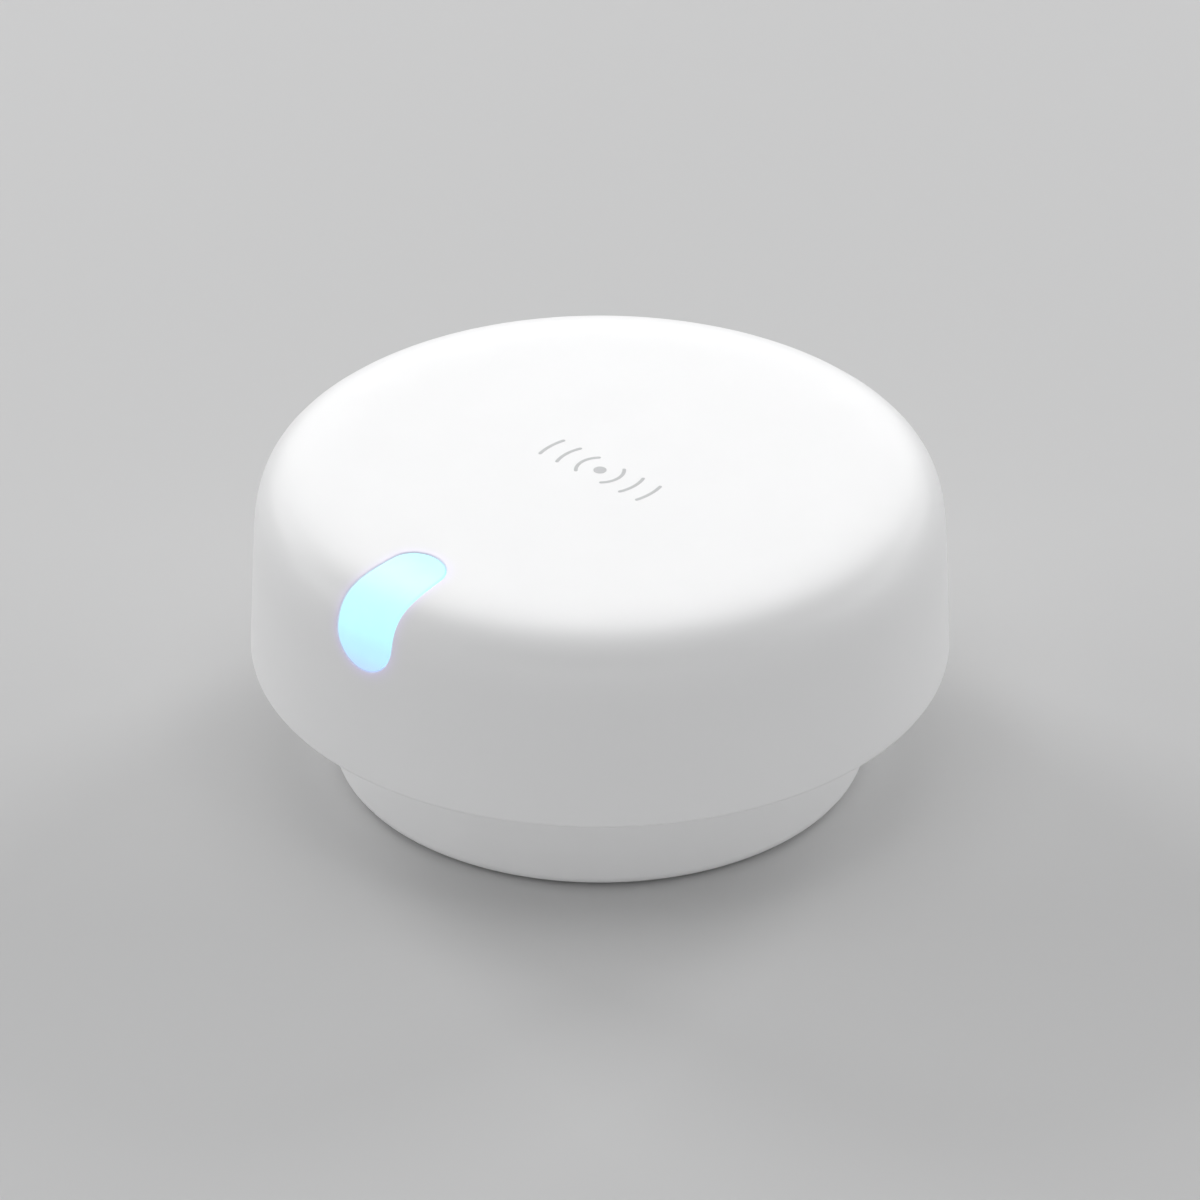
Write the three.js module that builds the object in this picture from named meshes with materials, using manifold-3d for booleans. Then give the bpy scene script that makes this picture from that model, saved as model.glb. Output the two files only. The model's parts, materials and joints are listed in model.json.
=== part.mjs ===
import * as THREE from 'three';
import { mergeVertices } from 'three/addons/utils/BufferGeometryUtils.js';
import Module from 'manifold-3d';

// Round presence sensor: a shallow puck on a smaller fold-out foot, in millimetres, +Z up.
// The origin is under the middle of the foot. The indicator is on the -Y side of the head, the foot's
// hinge on the +Y side, the power socket on the -X side.

const wasm = await Module();
wasm.setup();

// ---- Driving dimensions ----
const gap = 0.3; // air between neighbouring pieces
const roundSides = 48; // sides of the big turned pieces
const smallSides = 16; // sides of screws, bosses and holes
const quarter = Math.PI / 2;

// Head
const headRadius = 32;
const headBottom = 11.2;
const headTop = 29.5;
const coverWall = 1.8;
const rimRound = 0.5;
const sideTop = { r: 31.54, z: 23.14 }; // where the drafted side turns into the rounded corner
const cornerLift = 4.55; // how far the side's own direction carries into the corner
const cornerShoulder = { r: 30.46, z: 29.26 };
const cornerEase = 28.15; // radius where the corner starts to lie flat
const faceRadius = 22; // the face is flat inside this radius
const outerSteps = 8; // facets round the corner, outside and inside
const innerSteps = 5;

// Indicator, laid out square to the corner's 45 degree direction
const pillTilt = Math.PI / 4;
const pillWidth = 6.4;
const pillLength = 12.1;
const pillEnd = 2.7; // length of each rounded end
const pillOffset = -0.3;
const lensThickness = 2;
const shroudBack = 30.4;
const shroudFront = 32.8;
const shroudWall = 0.9;

// Covers and boards inside the head
const backCoverRadius = 29.9;
const flangeTop = 12.9;
const pocketRadius = 26.7;
const pocketTop = 14.7;
const pocketWall = 1.3;
const mainBoardRadius = 27;
const mainBoardBottom = 18.4;
const mainBoardTop = 19.6;
const mainBoardFlat = -20.3; // the board stops here, behind the indicator
const radarBoardBottom = 25.2;
const radarBoardTop = 26.2;
const postRadius = 3.2;
const postPinRadius = 2.4;
const postCircle = 21;
const postEnd = 16.3;
const postAngles = [40, 100, 220, 320];
const holeRadius = 1.1; // clearance and pilot holes of the small screws
const shankRadius = 0.8;
const shankLength = 5.5;
const backScrewHead = 2.1;
const screwSeat = 15.4;
const bossRadius = 4.2;
const bossBore = 2.9;
const bossTop = 17.9;
const insertRadius = 2.6;
const insertBore = 1.8;
const boardFloat = 0.1; // parts stand this far off the board they belong to
const modulePlace = 15.5;
const capacitorPlace = { x: 3, y: -15 };

// Power socket and button in the side wall
const socketHeight = 21.6;
const socketFront = 30.6;
const socketLength = 7.3;
const socketWidth = 8.9;
const socketTall = 3.2;
const socketWall = 0.35;
const landingDistance = 30.9; // the flat landing cut round the socket
const landingMargin = { x: 4, y: 3.4 };
const sealBack = 27.8;
const sealFront = 28.7;
const cutStart = 25; // side openings are cut from here outwards
const buttonAngle = 135;
const buttonRadius = 2.4;
const buttonHeight = 21;
const buttonFace = 31.8;
const buttonFlangeBack = 28.3;
const buttonFlangeFront = 29.2;
const buttonFlange = 3.3;
const pusherEnd = 27.9;
const switchDistance = 24.8;

// Swivel plate under the head, and the hinge between it and the foot
const plateRadius = pocketRadius - gap;
const plateTop = pocketTop - gap;
const stopCircle = 9.5;
const stopRadius = 1;
const swivelLimit = 90;
const hingeY = 22.8;
const hingeZ = 9.6;
const knuckleRadius = 2.3;
const pinRadius = 0.9;
const boreRadius = 1;
const centreKnuckle = 2; // half width of the middle knuckle
const earInner = 2.8;
const earOuter = 4.8;
const sideKnuckleInner = 5.2;
const sideKnuckleOuter = 6.8;
const hingeBlockHalf = 8.2; // half width of the solid block the knuckles grow from
const hingeBlockFront = 17.8;
const hingeBlockBottom = 5.3;
const pinEnd = 8.4;
const earClearance = 3.1; // the ears sweep inside this distance of the hinge axis
const washerThickness = 0.3;
const headSeat = 12.9; // the swivel screw's head bears here
const washerSeat = 13.7;
const washerPocket = 5;
const swivelHole = 1.8;
const swivelHeadHole = 3.6;

// Foot
const footRadius = 24.5;
const footBottom = 0.2;
const footTop = 10.9;
const footWall = 1.5;
const footRound = 1.2;
const footFlat = 24.1; // the hinge side is flat here, so the head can stand upright
const footPostCircle = 18.5;
const footPostAngles = [30, 150, 270];
const footPostRadius = 2.6;
const footPostBottom = 3.2;
const padRadius = 21.1;
const padThickness = 0.8;
const bottomPlateTop = 2.9;
const pegRadius = 1.6;
const pegTop = 6;
const weightRadius = 14;
const weightTop = 6.8;

// ---- Finishes ----
const white = { color: 0xf4f5f5, roughness: 0.42, metalness: 0 };
const paleGrey = { color: 0xdadcdd, roughness: 0.55, metalness: 0 };
const glow = { color: 0xc4fbff, roughness: 0.3, metalness: 0 };
const black = { color: 0x1b1c1e, roughness: 0.6, metalness: 0 };
const boardGreen = { color: 0x1f5c3a, roughness: 0.5, metalness: 0.1 };
const steel = { color: 0xb9bcc0, roughness: 0.32, metalness: 1 };
const brass = { color: 0xc9a35a, roughness: 0.35, metalness: 1 };
const rubber = { color: 0xa9acae, roughness: 0.85, metalness: 0 };
const acetal = { color: 0xe9e6dc, roughness: 0.4, metalness: 0 };

// ---- Solids ----
// A closed geometry as a solid that can be joined and cut.
function solid(geometry) {
  geometry.deleteAttribute('normal');
  geometry.deleteAttribute('uv');
  const merged = mergeVertices(geometry);
  const index = merged.index.array;
  const triangles = [];
  for (let i = 0; i < index.length; i += 3) {
    const [a, b, c] = [index[i], index[i + 1], index[i + 2]];
    if (a !== b && b !== c && c !== a) {
      triangles.push(a, b, c);
    }
  }
  return new wasm.Manifold(new wasm.Mesh({
    numProp: 3,
    vertProperties: new Float32Array(merged.attributes.position.array),
    triVerts: new Uint32Array(triangles),
  }));
}

function geometryOf(shape) {
  const mesh = shape.getMesh();
  const geometry = new THREE.BufferGeometry();
  geometry.setAttribute('position', new THREE.BufferAttribute(new Float32Array(mesh.vertProperties), 3));
  geometry.setIndex(new THREE.BufferAttribute(new Uint32Array(mesh.triVerts), 1));
  geometry.computeVertexNormals();
  return geometry;
}

// A shape turned round Z, from [radius, height] points that run counter-clockwise.
function turned(profile, sides = roundSides) {
  const points = profile.map(([r, z]) => new THREE.Vector2(r, z));
  return new THREE.LatheGeometry(points, sides).rotateX(quarter);
}

function disc(radius, low, high, sides = smallSides) {
  return turned([[0, low], [radius, low], [radius, high], [0, high]], sides);
}

function ring(inner, outer, low, high, sides = smallSides) {
  return turned([[inner, low], [outer, low], [outer, high], [inner, high], [inner, low]], sides);
}

function block(low, high) {
  const size = high.map((value, i) => value - low[i]);
  const middle = high.map((value, i) => (value + low[i]) / 2);
  return new THREE.BoxGeometry(...size).translate(...middle);
}

function prism(shape, low, high) {
  const depth = high - low;
  const settings = { depth, bevelEnabled: false, curveSegments: 10 };
  return new THREE.ExtrudeGeometry(shape, settings).translate(0, 0, low);
}

// A round bar along X, centred on the hinge axis.
function hingeBar(radius, from, to) {
  return disc(radius, from, to).rotateY(quarter).translate(0, hingeY, hingeZ);
}

// A slot with round ends, its long side along X.
function slotShape(length, height) {
  const r = height / 2;
  const half = length / 2 - r;
  const shape = new THREE.Shape();
  shape.moveTo(-half, -r);
  shape.lineTo(half, -r);
  shape.absarc(half, 0, r, -quarter, quarter, false);
  shape.lineTo(-half, r);
  shape.absarc(-half, 0, r, quarter, 3 * quarter, false);
  return shape;
}

// The indicator's outline. Positive grow makes it larger all round.
function pillShape(grow) {
  const halfWidth = pillWidth / 2 + grow;
  const end = pillEnd + grow;
  const straight = pillLength / 2 - pillEnd;
  const shape = new THREE.Shape();
  shape.moveTo(halfWidth, pillOffset - straight);
  shape.lineTo(halfWidth, pillOffset + straight);
  shape.absellipse(0, pillOffset + straight, halfWidth, end, 0, Math.PI, false);
  shape.lineTo(-halfWidth, pillOffset - straight);
  shape.absellipse(0, pillOffset - straight, halfWidth, end, Math.PI, 2 * Math.PI, false);
  return shape;
}

function polar(radius, degrees) {
  const angle = THREE.MathUtils.degToRad(degrees);
  return [radius * Math.cos(angle), radius * Math.sin(angle)];
}

// A point of the rounded corner, moved inwards by inset. t runs from the side (0) to the face (1).
function cornerPoint(t, inset) {
  const side = new THREE.Vector2(sideTop.r - headRadius, sideTop.z - headBottom - rimRound).normalize();
  const control = [
    new THREE.Vector2(sideTop.r, sideTop.z),
    new THREE.Vector2(sideTop.r, sideTop.z).addScaledVector(side, cornerLift),
    new THREE.Vector2(cornerShoulder.r, cornerShoulder.z),
    new THREE.Vector2(cornerEase, headTop),
    new THREE.Vector2(faceRadius, headTop),
  ];
  let points = control;
  while (points.length > 2) {
    const from = points;
    points = from.slice(1).map((point, i) => from[i].clone().lerp(point, t));
  }
  const along = points[1].clone().sub(points[0]).normalize();
  const at = points[0].lerp(points[1], t);
  return [at.x - along.y * inset, at.y + along.x * inset];
}

// The head's outer form, or the same form moved inwards, closed to the axis.
function headProfile(inset, cornerSteps) {
  const points = [[0, headBottom]];
  if (inset === 0) {
    points.push([headRadius - rimRound, headBottom]);
    points.push([headRadius - rimRound * 0.3, headBottom + rimRound * 0.3]);
    points.push([headRadius, headBottom + rimRound]);
  } else {
    points[0][1] -= 1; // past the open edge, so that the cut is clean
    points.push([headRadius - inset, headBottom - 1]);
  }
  for (let i = 0; i <= cornerSteps; i += 1) {
    points.push(cornerPoint(i / cornerSteps, inset));
  }
  points.push([0, headTop - inset]);
  return points;
}

// ---- Head pieces ----
// A tool that reaches out along a side direction, its outline upright: x along the wall, y up.
function sideTool(shape, from, to, degrees, height) {
  const turn = THREE.MathUtils.degToRad(degrees);
  return prism(shape, from, to).rotateX(quarter).rotateZ(turn + quarter).translate(0, 0, height);
}

function circleShape(radius) {
  return new THREE.Shape().absarc(0, 0, radius, 0, 2 * Math.PI, false);
}

function frontCover() {
  let cover = solid(turned(headProfile(0, outerSteps)));
  cover = cover.subtract(solid(turned(headProfile(coverWall, innerSteps))));
  for (const angle of postAngles) {
    const [x, y] = polar(postCircle, angle);
    const post = turned([
      [0, postEnd],
      [postPinRadius, postEnd],
      [postPinRadius, mainBoardTop + gap],
      [postRadius, mainBoardTop + gap],
      [postRadius, headTop - coverWall / 2],
      [0, headTop - coverWall / 2],
    ], smallSides);
    cover = cover.add(solid(post.translate(x, y, 0)));
    cover = cover.subtract(solid(disc(holeRadius, postEnd - 1, headTop - 5).translate(x, y, 0)));
  }
  cover = cover.subtract(solid(prism(pillShape(gap), shroudFront, headRadius + 20).rotateX(pillTilt)));
  const mouth = slotShape(socketWidth + 2 * gap, socketTall + 2 * gap);
  const landing = slotShape(socketWidth + landingMargin.x, socketTall + landingMargin.y);
  cover = cover.subtract(solid(sideTool(mouth, cutStart, headRadius + 1, 180, socketHeight)));
  cover = cover.subtract(solid(sideTool(landing, landingDistance, headRadius + 1, 180, socketHeight)));
  const buttonHole = circleShape(buttonRadius + gap);
  return cover.subtract(solid(sideTool(buttonHole, cutStart, headRadius + 1, buttonAngle, buttonHeight)));
}

function lightGuide() {
  const form = solid(turned(headProfile(0, outerSteps)));
  const shell = form.subtract(solid(turned(headProfile(lensThickness, innerSteps))));
  return shell.intersect(solid(prism(pillShape(0), shroudFront + gap, headRadius + 20).rotateX(pillTilt)));
}

function lightShroud() {
  const outside = solid(prism(pillShape(-0.2), shroudBack, shroudFront));
  return outside.subtract(solid(prism(pillShape(-0.2 - shroudWall), shroudBack - 1, shroudFront + 1)));
}

function backCover() {
  const ceiling = pocketTop + pocketWall;
  let cover = solid(turned([
    [bossBore, pocketTop],
    [pocketRadius, pocketTop],
    [pocketRadius, headBottom],
    [backCoverRadius, headBottom],
    [backCoverRadius, flangeTop],
    [pocketRadius + pocketWall, flangeTop],
    [pocketRadius + pocketWall, ceiling],
    [bossRadius, ceiling],
    [bossRadius, bossTop],
    [bossBore, bossTop],
    [bossBore, pocketTop],
  ]));
  for (const angle of postAngles) {
    const [x, y] = polar(postCircle, angle);
    cover = cover.subtract(solid(disc(backScrewHead + gap, pocketTop - 1, screwSeat).translate(x, y, 0)));
    cover = cover.subtract(solid(disc(holeRadius, pocketTop - 1, ceiling + 1).translate(x, y, 0)));
  }
  const stopPin = disc(stopRadius, plateTop - 0.9, pocketTop + 0.5).translate(0, stopCircle, 0);
  return cover.add(solid(stopPin));
}

// A screw with a round head below and its shank pointing up from height 0.
function screw(headSize, headTall, shankRadius, length) {
  return turned([
    [0, -headTall],
    [headSize * 0.45, -headTall],
    [headSize * 0.45, -headTall * 0.5],
    [headSize * 0.8, -headTall * 0.5],
    [headSize, -headTall * 0.45],
    [headSize, 0],
    [shankRadius, 0],
    [shankRadius, length],
    [0, length],
  ], smallSides);
}

function mainBoard() {
  let board = solid(disc(mainBoardRadius, mainBoardBottom, mainBoardTop, roundSides));
  const front = block(
    [-headRadius, -headRadius, mainBoardBottom - 1],
    [headRadius, mainBoardFlat, mainBoardTop + 1],
  );
  board = board.subtract(solid(front));
  for (const angle of postAngles) {
    const [x, y] = polar(postCircle, angle);
    const hole = disc(postPinRadius + gap, mainBoardBottom - 1, mainBoardTop + 1).translate(x, y, 0);
    board = board.subtract(solid(hole));
  }
  return board;
}

// The socket's shell with its tongue, opening towards -X.
function powerSocket() {
  const outside = slotShape(socketWidth, socketTall);
  const inside = slotShape(socketWidth - 2 * socketWall, socketTall - 2 * socketWall);
  const back = socketFront - socketLength;
  let socket = solid(sideTool(outside, back, socketFront, 180, 0));
  socket = socket.subtract(solid(sideTool(inside, back + 1, socketFront + 1, 180, 0)));
  const tongueHalf = 3.3;
  const tongue = block(
    [-socketFront + 0.8, -tongueHalf, -socketWall],
    [-back - 0.5, tongueHalf, socketWall],
  );
  return socket.add(solid(tongue));
}

function portSeal() {
  const inside = slotShape(socketWidth + gap, socketTall + gap);
  const outside = slotShape(socketWidth + 2, socketTall + 2);
  const seal = solid(sideTool(outside, sealBack, sealFront, 180, socketHeight));
  return seal.subtract(solid(sideTool(inside, sealBack - 1, sealFront + 1, 180, socketHeight)));
}

// An open-bottomed metal can.
function shieldCan(width, depth, tall, wall) {
  const outside = solid(block([-width / 2, -depth / 2, 0], [width / 2, depth / 2, tall]));
  const low = [-width / 2 + wall, -depth / 2 + wall, -1];
  return outside.subtract(solid(block(low, [width / 2 - wall, depth / 2 - wall, tall - wall])));
}

// A side-acting switch: its plunger points along +X.
function sideSwitch() {
  const body = solid(block([-1.8, -2.2, 0], [1.8, 2.2, 3]));
  const plunger = disc(0.9, 1.5, 2.5).rotateY(quarter).translate(0, 0, 1.5);
  return body.add(solid(plunger));
}

// ---- Swivel plate ----
// The arc slot that lets the back cover's stop pin travel to both ends of the swivel.
function stopSlot() {
  const half = THREE.MathUtils.degToRad(swivelLimit) + (stopRadius + gap) / stopCircle;
  const inner = stopCircle - stopRadius - gap;
  const outer = stopCircle + stopRadius + gap;
  const shape = new THREE.Shape();
  shape.absarc(0, 0, outer, quarter - half, quarter + half, false);
  shape.absarc(0, 0, inner, quarter + half, quarter - half, true);
  shape.closePath();
  return new THREE.ExtrudeGeometry(shape, { depth: 3, bevelEnabled: false, curveSegments: 24 })
    .translate(0, 0, plateTop - 1.2);
}

function swivelPlate() {
  let plate = solid(turned([
    [swivelHeadHole, headBottom],
    [plateRadius, headBottom],
    [plateRadius, plateTop],
    [washerPocket, plateTop],
    [washerPocket, washerSeat],
    [swivelHole, washerSeat],
    [swivelHole, headSeat],
    [swivelHeadHole, headSeat],
    [swivelHeadHole, headBottom],
  ]));
  plate = plate.subtract(solid(stopSlot()));
  const grooveHalf = sideKnuckleOuter + gap;
  plate = plate.subtract(solid(hingeBar(knuckleRadius + gap, -grooveHalf, grooveHalf)));
  for (const side of [-1, 1]) {
    const [from, to] = side < 0 ? [-earOuter, -earInner] : [earInner, earOuter];
    const neck = block(
      [from, hingeY - knuckleRadius, hingeZ],
      [to, hingeY + knuckleRadius - 0.2, headBottom + 1.6],
    );
    plate = plate.add(solid(hingeBar(knuckleRadius, from, to))).add(solid(neck));
  }
  return plate.subtract(solid(hingeBar(boreRadius, -earOuter - 1, earOuter + 1)));
}

// ---- Foot pieces ----
function footShell() {
  const outerProfile = [
    [0, footBottom],
    [footRadius - footRound, footBottom],
    [footRadius - footRound * 0.5, footBottom + footRound * 0.134],
    [footRadius - footRound * 0.134, footBottom + footRound * 0.5],
    [footRadius, footBottom + footRound],
    [footRadius, footTop - 0.2],
    [footRadius - 0.2, footTop],
    [0, footTop],
  ];
  const outer = solid(turned(outerProfile));
  let shell = outer.subtract(solid(disc(footRadius - footWall, -1, footTop - footWall, roundSides)));
  const hingeBlock = block(
    [-hingeBlockHalf, hingeBlockFront, hingeBlockBottom],
    [hingeBlockHalf, footRadius, footTop],
  );
  shell = shell.add(solid(hingeBlock).intersect(outer));
  for (const angle of footPostAngles) {
    const [x, y] = polar(footPostCircle, angle);
    const post = disc(footPostRadius, footPostBottom, footTop - footWall / 2);
    shell = shell.add(solid(post.translate(x, y, 0)));
    shell = shell.subtract(solid(disc(holeRadius, 2, footTop - 2.5).translate(x, y, 0)));
  }
  // Flat back, and a rounded top corner about the hinge axis that the head turns over.
  shell = shell.subtract(solid(block([-12, footFlat, -1], [12, headRadius, footTop + 1])));
  const corner = solid(block([-14, hingeY, hingeZ], [14, headRadius, footTop + 1]));
  shell = shell.subtract(corner.subtract(solid(hingeBar(footFlat - hingeY, -15, 15))));
  for (const [from, to] of [
    [-centreKnuckle, centreKnuckle],
    [-sideKnuckleOuter, -sideKnuckleInner],
    [sideKnuckleInner, sideKnuckleOuter],
  ]) {
    shell = shell.add(solid(hingeBar(knuckleRadius, from, to)));
  }
  for (const [from, to] of [[-sideKnuckleInner, -centreKnuckle], [centreKnuckle, sideKnuckleInner]]) {
    const earSlot = block(
      [from, hingeY - earClearance, hingeZ - earClearance],
      [to, headRadius, footTop + 2],
    );
    shell = shell.subtract(solid(earSlot));
  }
  return shell.subtract(solid(hingeBar(boreRadius, -12, 12)));
}

function footBottomPlate() {
  const radius = footRadius - footWall - gap;
  const padCeiling = padThickness + gap;
  let plate = solid(turned([
    [0, padCeiling],
    [padRadius + gap, padCeiling],
    [padRadius + gap, footBottom + 0.2],
    [radius, footBottom + 0.2],
    [radius, bottomPlateTop],
    [pegRadius, bottomPlateTop],
    [pegRadius, pegTop],
    [0, pegTop],
  ]));
  for (const angle of footPostAngles) {
    const [x, y] = polar(footPostCircle, angle);
    plate = plate.subtract(solid(disc(2.3, 0, 2.2).translate(x, y, 0)));
    plate = plate.subtract(solid(disc(holeRadius, 0, 4).translate(x, y, 0)));
  }
  return plate;
}

// ---- Assembly ----
function piece(parent, name, shape, finish, place = [0, 0, 0], turn = 0) {
  const geometry = shape.isBufferGeometry ? shape : geometryOf(shape);
  const mesh = new THREE.Mesh(geometry, new THREE.MeshStandardMaterial(finish));
  mesh.name = name;
  mesh.position.set(...place);
  mesh.rotation.z = THREE.MathUtils.degToRad(turn);
  parent.add(mesh);
}

function buildIndicator() {
  // This group's own Z looks out through the middle of the indicator.
  const indicator = new THREE.Group();
  indicator.rotation.x = pillTilt;
  piece(indicator, 'light_shroud', lightShroud(), black);
  const boardBottom = shroudBack - gap - 0.8;
  piece(indicator, 'indicator_board', prism(pillShape(0.1), boardBottom, shroudBack - gap), boardGreen);
  const ledBottom = shroudBack;
  [-2.9, 2.9].forEach((y, i) => {
    const led = block([-0.8, -0.8, 0], [0.8, 0.8, 0.7]);
    piece(indicator, `indicator_led_${i + 1}`, led, glow, [0, y + pillOffset, ledBottom]);
  });
  piece(indicator, 'light_sensor', block([-1, -0.6, 0], [1, 0.6, 0.6]), black, [0, pillOffset, ledBottom]);
  return indicator;
}

function buildHead() {
  const head = new THREE.Group();
  piece(head, 'front_cover', frontCover(), white);
  piece(head, 'light_guide', lightGuide(), glow);
  head.add(buildIndicator());
  piece(head, 'back_cover', backCover(), white);
  const sealInner = pocketRadius + pocketWall + 0.4;
  const seal = ring(sealInner, backCoverRadius - gap, flangeTop + 0.2, flangeTop + 1, roundSides);
  piece(head, 'cover_seal', seal, rubber);
  piece(head, 'main_board', mainBoard(), boardGreen);
  const radarOutline = block([-13, -11, radarBoardBottom], [13, 11, radarBoardTop]);
  piece(head, 'radar_board', radarOutline, boardGreen);
  const radarChip = block([-4.5, -4.5, 0], [4.5, 4.5, 0.8]);
  piece(head, 'radar_chip', radarChip, black, [0, 0, radarBoardTop + boardFloat]);
  const connectorTall = radarBoardBottom - mainBoardTop - 0.4;
  const connector = block([-6, -1.5, 0], [6, 1.5, connectorTall]);
  piece(head, 'board_connector', connector, black, [0, 9, mainBoardTop + 0.2]);
  const onBoard = mainBoardTop + boardFloat;
  piece(head, 'radio_module', block([-6.5, -8, 0], [6.5, 8, 0.8]), boardGreen, [modulePlace, 0, onBoard]);
  piece(head, 'radio_shield', shieldCan(11, 12, 1.9, 0.3), steel, [modulePlace, 0, onBoard + 1]);
  piece(head, 'usb_socket', powerSocket(), steel, [0, 0, socketHeight]);
  piece(head, 'port_seal', portSeal(), rubber);
  const [switchX, switchY] = polar(switchDistance, buttonAngle);
  piece(head, 'tact_switch', sideSwitch(), black, [switchX, switchY, onBoard], buttonAngle);
  piece(head, 'power_inductor', block([-2.2, -2.2, 0], [2.2, 2.2, 2.2]), black, [-10, -9, onBoard]);
  [-capacitorPlace.x, capacitorPlace.x].forEach((x, i) => {
    piece(head, `capacitor_${i + 1}`, disc(2, 0, 4.2), steel, [x, capacitorPlace.y, onBoard]);
  });
  postAngles.forEach((angle, i) => {
    const [x, y] = polar(postCircle, angle);
    const backScrew = screw(backScrewHead, 0.5, shankRadius, shankLength);
    piece(head, `back_screw_${i + 1}`, backScrew, steel, [x, y, screwSeat - 0.1]);
  });
  piece(head, 'swivel_insert', ring(insertBore, insertRadius, pocketTop + gap, bossTop - 0.2), brass);
  piece(head, 'swivel_screw', screw(3.2, 1.2, 1.5, 5), steel, [0, 0, headSeat - 0.2]);
  return head;
}

function buildFoot() {
  const foot = new THREE.Group();
  piece(foot, 'foot_shell', footShell(), white);
  piece(foot, 'foot_bottom', footBottomPlate(), paleGrey);
  const weight = ring(pegRadius + gap, weightRadius, bottomPlateTop + gap, weightTop, 36);
  piece(foot, 'weight_plate', weight, steel);
  piece(foot, 'grip_pad', disc(padRadius, 0, padThickness, roundSides), rubber);
  footPostAngles.forEach((angle, i) => {
    const [x, y] = polar(footPostCircle, angle);
    piece(foot, `foot_screw_${i + 1}`, screw(2, 0.8, shankRadius, shankLength), steel, [x, y, 1.95]);
  });
  piece(foot, 'hinge_pin', hingeBar(pinRadius, -pinEnd, pinEnd), steel);
  const washerMiddle = (centreKnuckle + earInner) / 2;
  [-washerMiddle, washerMiddle].forEach((x, i) => {
    const washer = ring(pinRadius + 0.15, 2, -washerThickness / 2, washerThickness / 2).rotateY(quarter);
    piece(foot, `friction_washer_${i + 1}`, washer, brass, [x, hingeY, hingeZ]);
  });
  return foot;
}

function buildButton() {
  const button = new THREE.Group();
  button.rotation.z = THREE.MathUtils.degToRad(buttonAngle);
  const cap = turned([
    [0, pusherEnd],
    [1, pusherEnd],
    [1, buttonFlangeBack],
    [buttonFlange, buttonFlangeBack],
    [buttonFlange, buttonFlangeFront],
    [buttonRadius, buttonFlangeFront],
    [buttonRadius, buttonFace - 0.3],
    [buttonRadius - 0.3, buttonFace],
    [0, buttonFace],
  ], smallSides).rotateY(quarter);
  piece(button, 'button_cap', cap, white, [0, 0, buttonHeight]);
  return button;
}

const sensor = new THREE.Group();
sensor.add(buildFoot());
piece(sensor, 'swivel_plate', swivelPlate(), white);
const swivelWasher = ring(swivelHole, washerPocket - 0.4, washerSeat + 0.15, plateTop - 0.2);
piece(sensor, 'swivel_washer', swivelWasher, acetal);
sensor.add(buildHead());
sensor.add(buildButton());

export default sensor;
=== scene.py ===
import json
import math
from bisect import bisect_right

import bpy
from mathutils import Matrix, Vector
from mathutils.geometry import delaunay_2d_cdt


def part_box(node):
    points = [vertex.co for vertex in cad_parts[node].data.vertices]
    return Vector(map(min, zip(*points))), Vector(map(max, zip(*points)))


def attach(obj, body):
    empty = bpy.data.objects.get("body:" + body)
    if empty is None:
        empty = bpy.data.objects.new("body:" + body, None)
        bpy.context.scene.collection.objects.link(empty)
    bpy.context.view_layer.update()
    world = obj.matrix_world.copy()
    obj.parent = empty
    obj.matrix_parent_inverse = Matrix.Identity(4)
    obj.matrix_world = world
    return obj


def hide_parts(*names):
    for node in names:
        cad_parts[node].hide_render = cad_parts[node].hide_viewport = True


# Round presence sensor on a fold-out foot.
# Lengths are in millimetres and turned to metres as meshes are made.
# The indicator is on the -Y side, the hinge on the +Y side, the power socket on the -X side.

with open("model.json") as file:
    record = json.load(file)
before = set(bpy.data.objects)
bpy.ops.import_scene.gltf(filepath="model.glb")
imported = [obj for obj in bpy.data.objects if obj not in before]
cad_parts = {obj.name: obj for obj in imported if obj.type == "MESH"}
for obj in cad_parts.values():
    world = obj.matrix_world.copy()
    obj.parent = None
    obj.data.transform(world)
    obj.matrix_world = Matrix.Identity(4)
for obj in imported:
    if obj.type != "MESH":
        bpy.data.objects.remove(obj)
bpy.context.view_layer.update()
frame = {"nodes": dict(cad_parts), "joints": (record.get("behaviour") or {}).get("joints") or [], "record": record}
mm = 0.001


def boxOf(node):
    low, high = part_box(node)
    return low / mm, high / mm


def joint(name):
    return next(j for j in frame["joints"] if j["name"] == name)


coverLow, coverHigh = boxOf("front_cover")
headRadius = coverHigh.x
headBottom = coverLow.z
headTop = coverHigh.z
hinge = Vector(joint("tilt")["pos_m"]) / mm


# camera, floor and lights

cameraSet = {"azimuth": 43.05, "elevation": 31.54, "distance": 1000.0, "lens": 327.8, "rise": 0.767}
floorSet = {"size": 3000.0, "drop": 0.05, "thickness": 5.0, "tone": 0.68}
worldSet = {"tone": (0.985, 0.99, 1.0), "strength": 0.3}
lightSet = [
    # name, azimuth, elevation, distance, width, height, power, sheen only
    ("sheenLow", 223, 26, 900, 700, 240, 2.5, True),
    ("sheenHigh", 223, 34, 900, 900, 400, 4.1, True),
    ("backLow", 223, 14, 900, 900, 160, 0.9, False),
    ("overTop", 43, 85, 700, 500, 500, 0.9, False),
    ("leftFill", -57, 20, 900, 500, 420, 1.45, False),
    ("rightFill", 146, 20, 900, 500, 420, 1.3, False),
    ("leftRear", -95, 25, 900, 300, 300, 2.1, False),
    ("rightRear", 180, 25, 900, 300, 300, 1.8, False),
    ("frontLow", 43, 3, 900, 900, 300, 1.9, False),
]


def outwards(azimuth, elevation):
    a, e = math.radians(azimuth), math.radians(elevation)
    return Vector((math.sin(a) * math.cos(e), -math.cos(a) * math.cos(e), math.sin(e)))


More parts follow.
